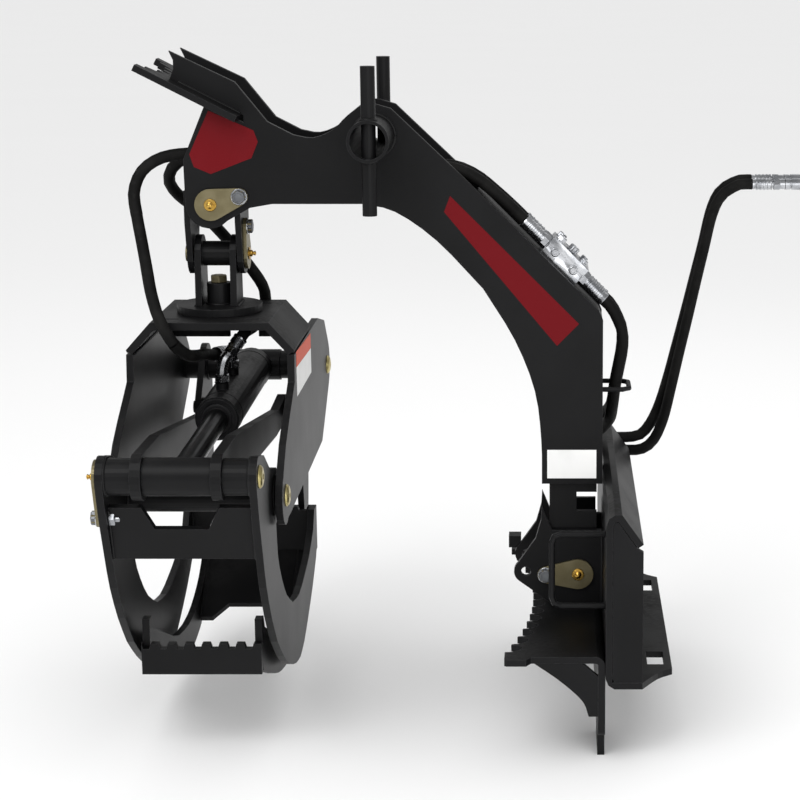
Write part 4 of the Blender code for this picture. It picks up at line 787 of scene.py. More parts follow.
@dataclass
class Crimp:
    """A hose's crimped sleeve: a collar, pressed bands and a flared lip."""

    name: str
    radius: float = 0.0116
    waist: float = 0.0106
    bands: int = 4

    def shape(self, length: float) -> bpy.types.Object:
        """Turn the sleeve round +Z, from its nut to its open lip.

        Args:
            length: The sleeve's length.

        Returns:
            The sleeve at the origin.
        """
        profile = [(0.0094, 0.0), (0.0108, 0.0008), (0.0108, 0.0040), (0.0098, 0.0048), (0.0098, 0.0062)]
        start, step = 0.0072, (length - 0.0072 - 0.0050) / self.bands
        for band in range(self.bands):
            low = start + band * step
            profile += [(self.radius, low), (self.radius, low + step * 0.30)]
            profile += [(self.waist, low + step * 0.42), (self.waist, low + step * 0.88)]
        profile += [(self.radius, length - 0.0042), (self.radius * 1.03, length - 0.0014)]
        profile += [(self.radius * 0.97, length)]
        return Bench.lathe(f"{self.name}_crimp", profile, 24)


def mirrored(points: Sequence[Point]) -> tuple[Point, ...]:
    """Return points mirrored in the boom's middle plane."""
    return tuple((x, -y, z) for x, y, z in points)


@dataclass
class HoseSet:
    """The four hoses, laid on the routes of the CAD and cut where a joint crosses them."""

    radius: float = 0.0095
    spacing: float = 0.012
    lead: float = 0.016
    steps: int = 8
    base_port_y: float = 0.110
    head_port_y: float = 0.000
    base_outlet: Point = (-0.35, -0.93, 0.05)
    head_outlet: Point = (0.52, 0.40, 0.70)
    near_coupler: Point = (0.2511, 0.298, 0.5563)
    far_coupler: Point = (0.2511, 0.3195, 0.5613)

    IN_BOOM = (
        (-0.175, 0.017, 0.574), (-0.212, 0.018, 0.603), (-0.252, 0.020, 0.617),
        (-0.295, 0.021, 0.612), (-0.340, 0.022, 0.601), (-0.390, 0.022, 0.598),
        (-0.440, 0.022, 0.600), (-0.490, 0.022, 0.608), (-0.540, 0.022, 0.620),
    )
    DOWN_PILLAR = (
        (0.010, 0.017, 0.385), (0.0205, 0.016, 0.360), (0.0215, 0.014, 0.332),
        (0.016, 0.012, 0.300),
    )
    LEFT = (
        (
            *mirrored(IN_BOOM),
            (-0.590, -0.022, 0.631), (-0.628, -0.022, 0.637), (-0.662, -0.023, 0.638),
            (-0.697, -0.026, 0.631), (-0.724, -0.031, 0.612), (-0.736, -0.039, 0.581),
            (-0.731, -0.050, 0.546),
        ),
        ((-0.731, -0.050, 0.546), (-0.7225, -0.065, 0.510), (-0.714, -0.080, 0.473)),
        ((-0.714, -0.080, 0.473), (-0.703, -0.103, 0.430), (-0.688, -0.123, 0.393), (-0.668, -0.126, 0.358)),
        ((-0.668, -0.126, 0.358), (-0.653, -0.102, 0.337), (-0.646, -0.060, 0.327), (-0.643, -0.005, 0.319)),
    )
    REAR = (
        (
            *IN_BOOM,
            (-0.590, 0.022, 0.629), (-0.630, 0.023, 0.632), (-0.662, 0.028, 0.628),
            (-0.688, 0.039, 0.612), (-0.698, 0.054, 0.588), (-0.687, 0.070, 0.564),
        ),
        ((-0.687, 0.070, 0.564), (-0.661, 0.079, 0.541), (-0.632, 0.083, 0.512)),
        (
            (-0.632, 0.083, 0.512), (-0.603, 0.085, 0.478), (-0.578, 0.092, 0.443),
            (-0.562, 0.108, 0.412), (-0.560, 0.125, 0.386),
        ),
        ((-0.560, 0.125, 0.386), (-0.566, 0.126, 0.362), (-0.574, 0.098, 0.348), (-0.583, 0.060, 0.345)),
    )
    SUPPLY_NEAR = (
        *mirrored(DOWN_PILLAR),
        (0.010, -0.011, 0.268), (0.007, 0.004, 0.236), (0.003, 0.055, 0.200),
        (-0.014, 0.117, 0.165), (-0.024, 0.185, 0.134), (-0.026, 0.250, 0.108),
        (-0.028, 0.298, 0.093), (-0.016, 0.332, 0.085), (0.015, 0.344, 0.081),
        (0.046, 0.342, 0.080), (0.070, 0.336, 0.084), (0.090, 0.332, 0.102),
        (0.106, 0.326, 0.142), (0.119, 0.322, 0.200), (0.132, 0.318, 0.262),
        (0.145, 0.313, 0.322), (0.158, 0.309, 0.384), (0.171, 0.305, 0.444),
        (0.1838, 0.301, 0.503), (0.199, 0.299, 0.536), (0.223, 0.298, 0.553),
    )
    SUPPLY_FAR = (
        *DOWN_PILLAR,
        (0.010, 0.013, 0.268), (0.0075, 0.027, 0.242), (0.004, 0.064, 0.219),
        (-0.012, 0.120, 0.189), (-0.023, 0.187, 0.157), (-0.026, 0.250, 0.131),
        (-0.028, 0.298, 0.116), (-0.016, 0.332, 0.108), (0.015, 0.345, 0.103),
        (0.044, 0.347, 0.1025), (0.066, 0.343, 0.108), (0.084, 0.346, 0.128),
        (0.100, 0.347, 0.163), (0.115, 0.3435, 0.215), (0.129, 0.3395, 0.272),
        (0.143, 0.3345, 0.330), (0.157, 0.3305, 0.390), (0.171, 0.3265, 0.450),
        (0.1838, 0.3225, 0.509), (0.199, 0.3205, 0.542), (0.223, 0.3195, 0.558),
    )

    def stretches(
        self, start: Vector, way_out: Vector, parts: Sequence[Sequence[Point]], end: Vector, way_in: Vector
    ) -> list[list[Vector]]:
        """Cut one smooth line from fitting to fitting where a joint crosses it.

        Args:
            start: The fitting that it leaves.
            way_out: The way it leaves.
            parts: The points of each stretch.
            end: The fitting that it reaches.
            way_in: The way out of that fitting.

        Returns:
            The middle line of each stretch.
        """
        knots = [start, start + way_out * self.lead]
        cuts = []
        for part in parts:
            knots += [Vector(p) for p in (part if len(knots) == 2 else part[1:])]
            cuts.append(len(knots) - 1)
        knots += [end + way_in * self.lead, end]
        cuts[-1] = len(knots) - 1
        fine = through(knots, self.steps)
        lines = []
        first = 0
        for cut_at in cuts:
            last = cut_at * self.steps
            lines.append(self.spaced(fine[first : last + 1]))
            first = last
        return lines

    def spaced(self, curve: Sequence[Vector]) -> list[Vector]:
        """Return points a set distance apart along a curve, with both its ends kept."""
        picked = [curve[0]]
        gone = 0.0
        for before, after in zip(curve, curve[1:]):
            gone += (after - before).length
            if gone >= self.spacing:
                picked.append(after)
                gone = 0.0
        if (picked[-1] - curve[-1]).length < self.spacing * 0.5:
            picked.pop()
        return picked + [curve[-1]]

    def tube(self, name: str, line: Sequence[Vector]) -> bpy.types.Object:
        """Return a hose's mesh along a line."""
        return Bench.sweep(name, line, [self.radius] * len(line), 16)

    def declare(
        self,
        hose: bpy.types.Object,
        line: Sequence[Vector],
        pieces: Sequence[bpy.types.Object] = (),
    ) -> None:
        """Hide the CAD solid that a hose piece stands for.

        Args:
            hose: The piece.
            line: Its middle line.
            pieces: The pieces on its far end; not used.
        """
        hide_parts(hose.name.removesuffix("_cover"))
        length = sum((b - a).length for a, b in zip(line, line[1:]))
        2 * self.radius

    def cylinder_hose(self, word: str, side: int, parts: Sequence[Sequence[Point]], elbow: Elbow) -> None:
        """Lay one hose from the valve through the boom to its elbow, a stretch for every joint.

        Args:
            word: The hose's name.
            side: -1 or 1, for the valve's near or far port.
            parts: The route of each stretch.
            elbow: The fitting at its far end.
        """
        slope = Slope.of_boom()
        start = ValveBlock().port(-1, side)
        lines = self.stretches(start, -slope.down, parts, elbow.end(), elbow.side())
        hoses = []
        for number, (crossing, line) in enumerate(zip(Crossing, lines), 1):
            hose = self.tube(f"{word}_hose_{number}_cover", line)
            Bench.done(hose, Look.HOSE, None, 60.0)
            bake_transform(hose)
            hoses.append(hose)
        self.declare(hoses[0], lines[0], [hoses[1]])
        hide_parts(f"{word}_hose_2")
        self.declare(hoses[2], lines[2])
        self.declare(hoses[3], lines[3])

    def supply_hose(self, word: str, side: int, route: Sequence[Point], coupler: "Coupler") -> None:
        """Lay one hose from the valve down the pillar and round the mount to its coupler.

        Args:
            word: The hose's name.
            side: -1 or 1, for the valve's near or far port.
            route: Its points.
            coupler: The coupler on its far end.
        """
        slope = Slope.of_boom()
        start = ValveBlock().port(1, side)
        line = self.stretches(start, slope.down, (route,), Vector(coupler.place), Vector((-1, 0, 0)))[0]
        hose = self.tube(f"supply_hose_{word}_cover", line)
        Bench.done(hose, Look.HOSE, "boom", 60.0)
        self.declare(hose, line, coupler.build())

    def build(self) -> None:
        """Lay all the hoses."""
        self.supply_hose("near", -1, self.SUPPLY_NEAR, Coupler("near", self.near_coupler))
        self.supply_hose("far", 1, self.SUPPLY_FAR, Coupler("far", self.far_coupler))
        base = Elbow("base", self.base_port_y, self.base_outlet)
        head = Elbow("head", self.head_port_y, self.head_outlet)
        self.cylinder_hose("left", -1, self.LEFT, base)
        self.cylinder_hose("rear", 1, self.REAR, head)
        base.build()
        head.build()


@dataclass
class Coupler:
    """A flat-faced quick coupler at the end of a supply hose."""

    word: str
    place: Point

    def build(self) -> list[bpy.types.Object]:
        """Build the coupler in place of its CAD solid.

        Returns:
            The pieces on the hose's end.
        """
        body = [(0.0072, 0.0), (0.0089, 0.0006), (0.0089, 0.0040)]
        body += [(0.0078, 0.0046), (0.0078, 0.0062), (0.0098, 0.0066)]
        for band in range(4):
            low = 0.0070 + band * 0.0062
            body += [(0.0099, low), (0.0099, low + 0.0020), (0.0092, low + 0.0028), (0.0092, low + 0.0056)]
        body += [(0.0099, 0.0322), (0.0099, 0.0336), (0.0070, 0.0342), (0.0070, 0.0365)]
        shank = Bench.lathe("shank", body, 24)
        flats = [(0.0094, 0.0360), (0.0104, 0.0368), (0.0104, 0.0462), (0.0094, 0.0470)]
        hexagon = Bench.lathe("hexagon", flats, 6)
        barrel = [(0.0078, 0.0465), (0.0086, 0.0472), (0.0086, 0.0560), (0.0093, 0.0566), (0.0093, 0.0640)]
        barrel += [(0.0086, 0.0648), (0.0086, 0.0664), (0.0098, 0.0672), (0.0098, 0.0838), (0.0090, 0.0846)]
        barrel += [(0.0090, 0.0872), (0.0098, 0.0880), (0.0098, 0.0940), (0.0090, 0.0950), (0.0072, 0.0950)]
        barrel += [(0.0066, 0.0935), (0.0050, 0.0930)]
        nose = Bench.lathe("nose", barrel, 28)
        parts = [shank, hexagon, nose]
        for part in parts:
            Bench.set_down(part, self.place, (1, 0, 0))
        whole = Bench.join(f"coupler_{self.word}_body", parts)
        Bench.done(whole, Look.ZINC, "boom", 30.0)
        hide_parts(f"quick_coupler_{self.word}")
        lip = [(0.0091, 0.0558), (0.0094, 0.0561), (0.0091, 0.0566)]
        seal = Bench.turned(f"coupler_{self.word}_seal", lip, 24, self.place, (1, 0, 0), Look.SEAL, "boom")
        return [whole, seal]


@dataclass
class ValveBlock:
    """The crossover relief valve: a drilled block, its cartridges and its crimped hose ends."""

    along: float = 0.173
    size: Point = (0.075, 0.066, 0.034)
    port_spacing: float = 0.017
    ferrule: float = 0.055

    def centre(self) -> Vector:
        """Return the block's middle."""
        slope = Slope.of_boom()
        return slope.high + slope.down * self.along + slope.out * (self.size[2] / 2 + FIT_GAP)

    def port(self, end: int, side: int) -> Vector:
        """Return where a hose leaves the valve.

        Args:
            end: -1 up the slope, 1 down it.
            side: -1 near, 1 far.

        Returns:
            The middle of the hose's first section.
        """
        slope = Slope.of_boom()
        start = self.centre() + slope.down * end * (self.size[0] / 2 - 0.004)
        start += Vector((0, side * self.port_spacing, 0))
        return start + slope.down * end * (self.ferrule + FIT_GAP)

    def turn_to_slope(self, obj: bpy.types.Object) -> None:
        """Turn a piece made with X down the slope and Z out of it, and set it on the valve's middle."""
        slope = Slope.of_boom()
        Bench.pick(obj)
        turn = Matrix((slope.down, Vector((0, 1, 0)), slope.out)).transposed().to_4x4()
        obj.matrix_world = Matrix.Translation(self.centre()) @ turn @ obj.matrix_world
        bpy.ops.object.transform_apply(location=True, rotation=True, scale=True)

    def block(self) -> bpy.types.Object:
        """Model the block: a cube with milled shoulders, bevelled corners and counterbored faces."""
        Bench.clear()
        bpy.ops.mesh.primitive_cube_add(size=1.0, enter_editmode=True)
        bpy.ops.transform.resize(value=self.size)
        bpy.ops.mesh.subdivide(number_cuts=2)
        bpy.ops.mesh.select_all(action="DESELECT")
        bpy.ops.object.mode_set(mode="OBJECT")
        made = bpy.context.object
        made.name = "valve_block"
        for face in made.data.polygons:
            middle = face.center
            band = abs(face.normal.z) < 0.1 and abs(middle.z) < 0.004
            top = face.normal.z > 0.9 and abs(middle.x) < 0.01 and abs(middle.y) > 0.015
            face.select = band or top
        bpy.ops.object.mode_set(mode="EDIT")
        bpy.ops.mesh.inset(thickness=0.0022, depth=-0.0012, use_individual=True)
        bpy.ops.object.mode_set(mode="OBJECT")
        Bench.soften(made, 0.0007, 2, 50.0)
        return made

    def fitting(self, name: str, spot: Point, axis: Point, scale: float, sides: int) -> bpy.types.Object:
        """Model a plug or a cartridge head: a washer face, a hexagon and a dished top.

        Args:
            name: Its name.
            spot: Its place on the block, in the block's own directions.
            axis: The way it stands.
            scale: Its size.
            sides: 6 for a hexagon, more for a round cap.

        Returns:
            The fitting, still in the block's own directions.
        """
        flat = [(0.0088 * scale, 0.0), (0.0088 * scale, 0.0012), (0.0080 * scale, 0.0016)]
        washer = Bench.lathe("washer", flat, 24)
        head = [(0.0074 * scale, 0.0010), (0.0080 * scale, 0.0018), (0.0080 * scale, 0.0078 * scale)]
        head += [(0.0068 * scale, 0.0088 * scale), (0.0042 * scale, 0.0088 * scale)]
        head += [(0.0038 * scale, 0.0060 * scale)]
        cap = Bench.lathe("cap", head, sides)
        whole = Bench.join(name, [washer, cap])
        Bench.set_down(whole, spot, axis)
        return whole

    def build(self) -> None:
        """Build the valve in place of its CAD solid."""
        long, wide, high = (s / 2 for s in self.size)
        spots = (
            (-0.026, 0.019, 1.0, 6),
            (-0.026, -0.019, 1.0, 6),
            (0.024, 0.018, 0.8, 6),
            (0.024, -0.018, 0.8, 6),
            (0.000, 0.0, 1.1, 24),
        )
        parts = [self.block()]
        for number, (x, y, scale, sides) in enumerate(spots):
            parts.append(self.fitting(f"plug_{number}", (x, y, high), (0, 0, 1), scale, sides))
        for side in (-1, 1):
            for x in (-0.020, 0.020):
                parts.append(self.fitting(f"side_{side}_{x}", (x, side * wide, 0.0), (0, side, 0), 0.8, 6))
        flats = [(0.0102, 0.0), (0.0114, 0.0012), (0.0114, 0.0105), (0.0100, 0.0118)]
        for end in (-1, 1):
            for side in (-1, 1):
                nut = Bench.lathe("nut", flats, 6)
                Bench.set_down(nut, (end * (long - 0.0006), side * self.port_spacing, 0.0), (end, 0, 0), 30.0)
                sleeve = Crimp("valve", 0.0114, 0.0106).shape(self.ferrule - 0.0130)
                Bench.set_down(sleeve, (end * (long + 0.0090), side * self.port_spacing, 0.0), (end, 0, 0))
                parts += [nut, sleeve]
        whole = Bench.join("valve_body", parts)
        self.turn_to_slope(whole)
        Bench.done(whole, Look.ZINC, "boom", 32.0)
        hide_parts("crossover_valve")


@dataclass
class Fasteners:
    """The silver bolts, the brass grease fittings and the hexagon nuts on the plated parts."""

    keeper: float = 0.005
    boom_bolt: Spot = (0.0448, 0.0126)
    foot_bolt: Spot = (-0.1000, -0.0290)
    foot_pin: Spot = (-0.0485, -0.0280)
    cross_bolt: Spot = (-0.010, 0.524)
    rod_bolt: Spot = (-0.403, 0.159)
    sync_pivot: Spot = (0.284, 0.171)
    link_face: float = 0.0438
    jaw_face: float = 0.1137
    jaw_inside: float = 0.1024
    sync_face: float = 0.0902
    frame_ends: Spot = (-0.1298, 0.1298)
    rod_ends: Spot = (-0.1190, 0.1137)

    def bolt(self, name: str, spot: Sequence[float], axis: Point, body: str) -> None:
        """Build a keeper's bolt head over its washer.

        Args:
            name: The piece's name.
            spot: The middle of its seat.
            axis: The way it stands.
            body: The body that it rides on.
        """
        flat = [(0.0128, 0.0), (0.0128, 0.0012), (0.0122, 0.0017), (0.0110, 0.0017)]
        washer = Bench.lathe("washer", flat, 32)
        head = [(0.0102, 0.0012), (0.0112, 0.0022), (0.0112, 0.0072)]
        head += [(0.0100, 0.0086), (0.0072, 0.0086), (0.0068, 0.0080)]
        for part, look in ((washer, Look.ZINC), (Bench.lathe("head", head, 6), Look.STEEL)):
            part.name = name if look is Look.STEEL else f"{name}_washer"
            Bench.set_down(part, spot, axis, 8.0)
            Bench.done(part, look, body, 30.0)

    def grease(self, name: str, spot: Sequence[float], axis: Point, body: str) -> None:
        """Build a pin's raised end with its grease fitting.

        Args:
            name: The piece's name.
            spot: The middle of its seat.
            axis: The way it stands.
            body: The body that it rides on.
        """
        profile = [(0.0098, 0.0), (0.0098, 0.0010), (0.0090, 0.0018), (0.0052, 0.0020)]
        profile += [(0.0052, 0.0052), (0.0036, 0.0062), (0.0028, 0.0070), (0.0028, 0.0080)]
        profile += [(0.0038, 0.0088), (0.0038, 0.0098), (0.0022, 0.0110), (0.0008, 0.0112)]
        Bench.turned(name, profile, 20, spot, axis, Look.ZERK, body, 30.0)

    def swivel(self) -> None:
        """Build the grapple's turning bolt with a hexagon above and below, in place of its CAD solid."""
        shank = [(0.0088, 0.3587), (0.0095, 0.3592), (0.0095, 0.4452), (0.0088, 0.4460)]
        under = [(0.0198, 0.3627), (0.0218, 0.3641), (0.0218, 0.3744), (0.0200, 0.3757)]
        over = [(0.0136, 0.4344), (0.0142, 0.4352), (0.0142, 0.4438), (0.0124, 0.4454)]
        profiles = (("shank", shank, 28), ("under", under, 6), ("over", over, 6))
        parts = [Bench.lathe(*profile) for profile in profiles]
        for part in parts:
            Bench.set_down(part, (HEAD_X, 0, 0), (0, 0, 1), 10.0)
        whole = Bench.join("swivel_bolt_hexes", parts)
        Bench.done(whole, Look.GOLD, "frame", 30.0)
        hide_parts("swivel_bolt")

    def build(self) -> None:
        """Build all the fasteners."""
        near, left, right = (0, -1, 0), (-1, 0, 0), (1, 0, 0)
        face = BOOM_FACE_Y - FIT_GAP - self.keeper
        over, up = self.boom_bolt
        self.bolt("boom_pin_bolt", (HEAD_X + over, face, BOOM_PIN_Z + up), near, "boom")
        self.grease("boom_pin_zerk", (HEAD_X, face, BOOM_PIN_Z), near, "boom")
        self.bolt("foot_pin_bolt", (self.foot_bolt[0], face, self.foot_bolt[1]), near, "boom")
        self.grease("foot_pin_zerk", (self.foot_pin[0], face, self.foot_pin[1]), near, "boom")
        side = HEAD_X + self.link_face + self.keeper
        self.bolt("cross_pin_bolt", (side, *self.cross_bolt), right, "swing_link")
        self.grease("cross_pin_zerk", (side, 0.0, CROSS_PIN_Z), right, "swing_link")
        outside = HEAD_X - self.jaw_face - self.keeper
        self.bolt("rod_pin_bolt", (outside, *self.rod_bolt), left, "near_jaw")
        nut = [(0.0102, 0.0), (0.0112, 0.0010), (0.0112, 0.0082), (0.0100, 0.0094)]
        nut += [(0.0062, 0.0094), (0.0062, 0.0150), (0.0054, 0.0160)]
        inside = (HEAD_X - self.jaw_inside, *self.rod_bolt)
        Bench.turned("rod_pin_nut", nut, 6, inside, right, Look.ZINC, "near_jaw", 30.0)
        for word, way in (("left", -1), ("right", 1)):
            spot = (HEAD_X + way * self.sync_face, *self.sync_pivot)
            self.dome(f"sync_pin_{word}", spot, way, 0.0136, "far_jaw")
        self.through_pin("near_jaw_pin", NEAR_PIVOT, self.frame_ends, (0.0150, 0.0168), "frame", True)
        self.through_pin("far_jaw_pin", FAR_PIVOT, self.frame_ends, (0.0150, 0.0160), "frame", True)
        self.through_pin("rod_pin", ROD_PIVOT, self.rod_ends, (0.0127, 0.0168), "near_jaw", False)
        self.grease("rod_pin_zerk", (HEAD_X + self.rod_ends[0], *ROD_PIVOT), left, "near_jaw")
        self.swivel()

    def through_pin(self, node: str, spot: Spot, ends: Spot, radii: Spot, body: str, both: bool) -> None:
        """Build a pin along X with a wide domed head, in place of its CAD solid.

        Args:
            node: The CAD node that it replaces.
            spot: Its Y and Z.
            ends: The X of each end's seat, from the middle plane.
            radii: The pin's radius and its head's.
            body: The body that it rides on.
            both: Whether the left end has a head too.
        """
        left, right = ends
        pin, head = radii
        cap = [(0.0030, 0.0040), (0.0042, 0.0052), (0.0085, 0.0056), (head - 0.0033, 0.0044)]
        cap += [(head - 0.0006, 0.0022), (head, 0.0008), (head, 0.0)]
        profile = [(radius, left - lift) for radius, lift in cap] if both else [(pin - 0.0010, left - 0.0008)]
        profile += [(pin, left + 0.0002), (pin, right - 0.0002)]
        profile += [(radius, right + lift) for radius, lift in reversed(cap)]
        place = (HEAD_X, *spot)
        part = Bench.turned(f"{node}_domed", profile, 32, place, (1, 0, 0), Look.BRASS, body)
        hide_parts(node)

    def dome(self, name: str, spot: Point, way: int, radius: float, body: str) -> None:
        """Build the brass face of a domed pin head.

        Args:
            name: The piece's name.
            spot: The middle of its seat.
            way: -1 or 1 along X.
            radius: Its radius.
            body: The body that it rides on.
        """
        profile = [(radius, 0.0), (radius, 0.0010), (radius * 0.93, 0.0022), (radius * 0.74, 0.0034)]
        profile += [(radius * 0.46, 0.0041), (radius * 0.40, 0.0034), (radius * 0.16, 0.0034)]
        Bench.turned(f"{name}_dome", profile, 28, spot, (way, 0, 0), Look.BRASS, body)


@dataclass
class BarePlates:
    """The badge places, with nothing printed on them, in the photograph's colours."""

    lift: float = 0.0005

    BADGE = (
        (-0.6144, 0.7070), (-0.5462, 0.6769), (-0.5401, 0.6595), (-0.5505, 0.6346),
        (-0.6136, 0.6102), (-0.6392, 0.6209), (-0.6457, 0.6402), (-0.6328, 0.6682),
    )
    BAND = ((-0.2469, 0.5766), (-0.0479, 0.3768), (-0.0822, 0.3420), (-0.2564, 0.5519))
    PLATE = ((-0.0975, 0.1751), (-0.0200, 0.1751), (-0.0200, 0.1290), (-0.0975, 0.1290))
    FRAME_LABEL = ((-0.0870, 0.2680), (0.1050, 0.2680), (0.1050, 0.3080), (-0.0870, 0.3140))
    FRAME_BAND = ((-0.0870, 0.3144), (0.1050, 0.3084), (0.1050, 0.3330), (-0.0870, 0.3385))

    def film(self, name: str, outline: Sequence[Point], lift: Point, look: Look, body: str) -> None:
        """Lay one bare film.

        Args:
            name: The piece's name.
            outline: Its corners on the plate's face.
            lift: How far, and which way, it stands off the face.
            look: Its finish.
            body: The body that it rides on.
        """
        Bench.done(Bench.plate(name, outline, lift), look, body, 30.0)

    def build(self) -> None:
        """Lay the films of the boom's near side, then those of the right frame plate."""
        boom = (("bare_badge", self.BADGE, Look.RED), ("bare_band", self.BAND, Look.RED))
        for name, corners, look in (*boom, ("bare_plate", self.PLATE, Look.WHITE)):
            outline = [(x, BOOM_FACE_Y, z) for x, z in corners]
            self.film(name, outline, (0.0, -self.lift, 0.0), look, "boom")
        label = ("bare_frame_label", self.FRAME_LABEL, Look.WHITE)
        for name, corners, look in (label, ("bare_frame_band", self.FRAME_BAND, Look.AMBER)):
            outline = [(FRAME_FACE_X, y, z) for y, z in corners]
            self.film(name, outline, (self.lift, 0.0, 0.0), look, "frame")


@dataclass
class FrameWeb:
    """The cross web under the crown strap, cut where the rear hose passes."""

    front: float = 0.0580
    thickness: float = 0.0080
    bottom: float = 0.3360
    top: float = 0.3757
    spans: tuple[Spot, ...] = ((-0.0880, 0.0060), (0.0520, 0.0880))

    def build(self) -> None:
        """Build each half of the web."""
        for number, (left, right) in enumerate(self.spans):
            outline = [(HEAD_X + left, self.front, self.top), (HEAD_X + right, self.front, self.top)]
            outline += [(HEAD_X + right, self.front, self.bottom), (HEAD_X + left, self.front, self.bottom)]
            part = Bench.plate(f"strap_web_{number}", outline, (0.0, self.thickness, 0.0))
            Bench.soften(part, 0.0008)
            Bench.done(part, Look.COAT, "frame", 35.0)


@dataclass
class Beads:
    """The weld beads, each a rippled bar laid along its seam."""

    pitch: float = 0.0030
    radius: float = 0.0032

    def bead(self, name: str, seam: Sequence[Sequence[float]], scale: float = 1.0) -> bpy.types.Object:
        """Lay one bead along a seam.

        Args:
            name: The bead's name.
            seam: The seam's points.
            scale: The bead's size against the usual one.

        Returns:
            The bead.
        """
        line = [Vector(p) for p in seam]
        total = sum((b - a).length for a, b in zip(line, line[1:]))
        count = max(6, 2 * round(total / self.pitch))
        points = [self.at(line, total * i / count) for i in range(count + 1)]
        radii = [self.radius * scale * (1.0 if i % 2 else 0.80) for i in range(count + 1)]
        radii[0] = radii[-1] = self.radius * scale * 0.6
        return Bench.sweep(name, points, radii, 8)

    def at(self, line: Sequence[Vector], distance: float) -> Vector:
        """Return the point a distance along a line."""
        for before, after in zip(line, line[1:]):
            step = (after - before).length
            if distance <= step or after is line[-1]:
                return before.lerp(after, min(1.0, distance / max(step, 1e-9)))
            distance -= step
        return line[-1]

    def group(
        self, name: str, body: str, seams: Sequence[Sequence[Sequence[float]]], scale: float = 1.0
    ) -> None:
        """Lay the beads of one part as one piece.

        Args:
            name: The piece's name.
            body: The body that it rides on.
            seams: The points of each seam.
            scale: The beads' size against the usual one.
        """
        parts = [self.bead(f"{name}_{number}", seam, scale) for number, seam in enumerate(seams)]
        Bench.done(Bench.join(name, parts), Look.BEAD, body, 60.0)

    def build(self) -> None:
        """Lay every bead."""
        self.boom_seams()
        self.mount_seams()
        self.grapple_seams()

    def boom_seams(self) -> None:
        """Lay the beads of the tube, its rods and the horn plate."""
        tube = (-0.3627, 0.669)
        seams = [ring((tube[0], y, tube[1]), (0, 1, 0), 0.0325) for y in (-0.0572, 0.0572)]
        for y in (-0.147, 0.147):
            for way in (-1, 1):
                seams.append(self.saddle(tube, y, way))
        self.group("tube_beads", "boom", seams)
        slope = math.radians(27.0)
        horn = []
        for y in (-0.0575, 0.0575):
            for lift in (-0.0010, 0.0110):
                start, end = -0.050, 0.055
                points = []
                for along in (start, end):
                    x = -0.619 + along * math.cos(slope) + lift * math.sin(slope)
                    points.append((x, y, 0.718 - along * math.sin(slope) + lift * math.cos(slope)))
                horn.append(points)
        self.group("horn_beads", "boom", horn, 0.8)

    def saddle(self, tube: Spot, y: float, way: int) -> list[Point]:
        """Return the seam of a guide rod on the tube, above or below it.

        Args:
            tube: The tube's X and Z.
            y: The rod's place.
            way: 1 above, -1 below.

        Returns:
            The seam's points.
        """
        radius, rod = 0.03175, 0.0118
        points = []
        for step in range(33):
            t = 2 * math.pi * step / 32
            x = rod * math.sin(t)
            points.append((tube[0] + x, y + rod * math.cos(t), tube[1] + way * math.sqrt(radius**2 - x**2)))
        return points

    def mount_seams(self) -> None:
        """Lay the beads of the ears, the shelf, the leg and the end plates."""
        ears = []
        for y in (-0.0568, 0.0568):
            ears.append([(-0.0106, y, 0.042), (-0.0106, y, -0.083)])
            ears.append([(-0.026, y, -0.0835), (-0.080, y, -0.0835)])
        self.group("ear_beads", "boom", ears, 0.9)
        shelf = [[(-0.0455, y, -0.0945), (-0.1150, y, -0.0945)] for y in (-0.2885, 0.2885)]
        shelf += [[(-0.0216, y, -0.120), (-0.0216, y, -0.177)] for y in (-0.2885, 0.2885)]
        self.group("shelf_beads", "boom", shelf, 0.8)
        ends = [[(0.0010, y * 0.2940, -0.112), (0.0010, y * 0.2940, 0.112)] for y in (-1, 1)]
        self.group("end_plate_beads", "boom", ends, 0.7)

    def grapple_seams(self) -> None:
        """Lay the beads of the head, the grapple frame, the jaws and the cylinder."""
        disc = [[(HEAD_X + x, -0.032, 0.4006), (HEAD_X + x, 0.032, 0.4006)] for x in (-0.0335, 0.0335)]
        disc.append(ring((HEAD_X, 0, 0.4008), (0, 0, 1), 0.0196))
        self.group("disc_beads", "clevis", disc, 0.7)
        strap = [[(HEAD_X + x, -0.104, 0.3385), (HEAD_X + x, 0.104, 0.3385)] for x in (-0.1178, 0.1178)]
        strap += [[(HEAD_X + x, -0.1085, 0.3430), (HEAD_X + x, 0.1085, 0.3430)] for x in (-0.1268, 0.1268)]
        self.group("strap_beads", "frame", strap, 0.8)
        near = [ring((HEAD_X + x, *NEAR_PIVOT), (1, 0, 0), 0.0285) for x in (-0.1140, 0.1140)]
        near += [ring((HEAD_X + x, *NEAR_PIVOT), (1, 0, 0), 0.0250) for x in (-0.1018, 0.1018)]
        near += [ring((HEAD_X + x, *ROD_PIVOT), (1, 0, 0), 0.0268) for x in (-0.1016, 0.1016)]
        near += [[(HEAD_X + x, -0.388, 0.094), (HEAD_X + x, -0.413, 0.172)] for x in (-0.1014, 0.1014)]
        near += [[(HEAD_X + x, 0.2612, -0.076), (HEAD_X + x, 0.2612, -0.006)] for x in (-0.1014, 0.1014)]
        self.group("near_jaw_beads", "near_jaw", near, 0.8)
        hubs = (-0.0905, 0.0905, -0.0785, 0.0785)
        far = [ring((HEAD_X + x, *FAR_PIVOT), (1, 0, 0), 0.0249) for x in hubs]
        far += [[(HEAD_X + x, 0.168, -0.1705), (HEAD_X + x, 0.332, -0.0625)] for x in (-0.0782, 0.0782)]
        self.group("far_jaw_beads", "far_jaw", far, 0.8)


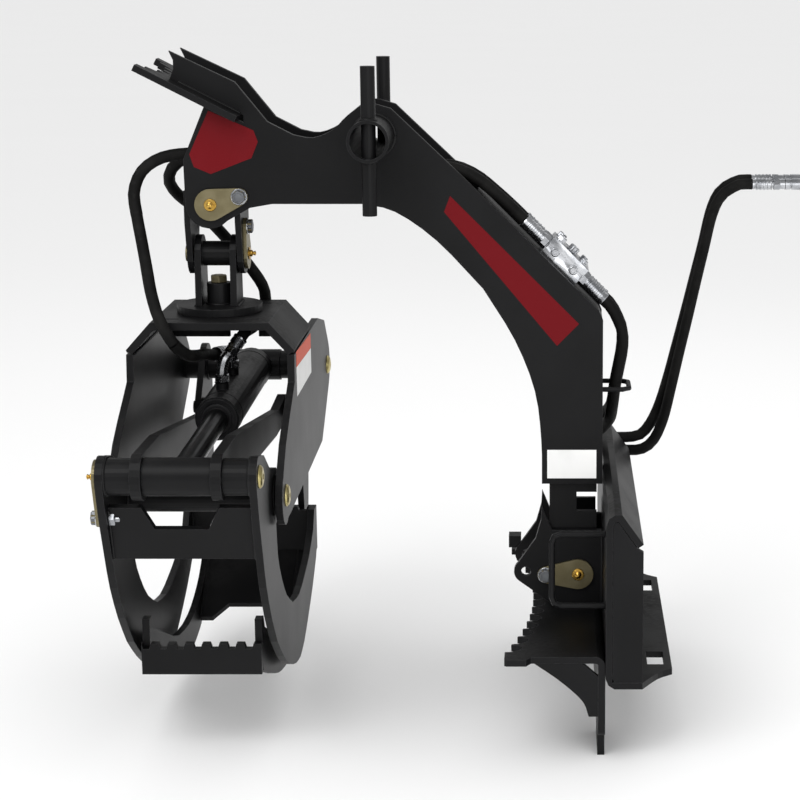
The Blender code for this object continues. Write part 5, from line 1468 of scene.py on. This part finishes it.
@dataclass
class Ram:
    """The cylinder's gland face, rod wiper and barrel bands, and the rod eye's sleeve."""

    base: Point = (HEAD_X, *FAR_PIVOT)
    eye: Point = (HEAD_X, *ROD_PIVOT)
    length: float = BARREL_LENGTH
    bands: Spot = (0.372, 0.046)

    def build(self) -> None:
        """Build the parts round the rod's way out."""
        start = Vector(self.base)
        along = (Vector(self.eye) - start).normalized()
        end = start + along * self.length
        gland = [(0.0290, -0.0010), (0.0332, 0.0), (0.0332, 0.0020), (0.0318, 0.0034)]
        gland += [(0.0262, 0.0034), (0.0255, 0.0022), (0.0236, 0.0022), (0.0230, 0.0040)]
        gland += [(0.0214, 0.0046), (0.0186, 0.0046)]
        Bench.turned("gland_face", gland, 48, end, along, Look.COAT, "barrel", 35.0)
        wiper = [(0.0192, 0.0044), (0.0192, 0.0056), (0.0184, 0.0064), (0.0179, 0.0066)]
        Bench.turned("rod_wiper", wiper, 40, end, along, Look.SEAL, "barrel", 35.0)
        sleeve = [(0.0262, -0.0486), (0.0274, -0.0474), (0.0274, 0.0474), (0.0262, 0.0486)]
        Bench.turned("rod_eye_sleeve", sleeve, 48, self.eye, (1, 0, 0), Look.COAT, "rod", 35.0)
        band = [(0.0350, 0.0), (0.0356, 0.0006), (0.0356, 0.0060), (0.0350, 0.0066)]
        for number, distance in enumerate(self.bands):
            spot = start + along * distance
            Bench.turned(f"barrel_band_{number}", band, 48, spot, along, Look.COAT, "barrel", 35.0)


@dataclass
class FrameFinishes:
    """The finishes of the CAD nodes that show as they are."""

    def build(self) -> None:
        """Assign each node its finish by the material that it came with."""
        by_slot = {"black_paint": Look.COAT, "bright_zinc": Look.ZINC, "yellow_zinc": Look.GOLD}
        by_slot |= {"hard_chrome": Look.CHROME, "hose_rubber": Look.HOSE}
        for name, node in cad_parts.items():
            for slot in node.material_slots:
                look = by_slot[slot.material.name.split(".")[0]]
                slot.material = look.value.material()
            LOG.info("%s: CAD node", name)


def main() -> None:
    logging.basicConfig(level=logging.INFO, format="%(message)s")
    studio = Studio()
    studio.camera()
    assemblies = (
        HoseSet(),
        FrameFinishes(),
        ValveBlock(),
        Ram(),
        Fasteners(),
        BarePlates(),
        FrameWeb(),
        Beads(),
        studio,
    )
    builders: list[Callable[[], None]] = [assembly.build for assembly in assemblies]
    for build in builders:
        build()
    Bench.clear()
    LOG.info("%d new pieces", Bench.made)


if __name__ == "__main__":
    main()
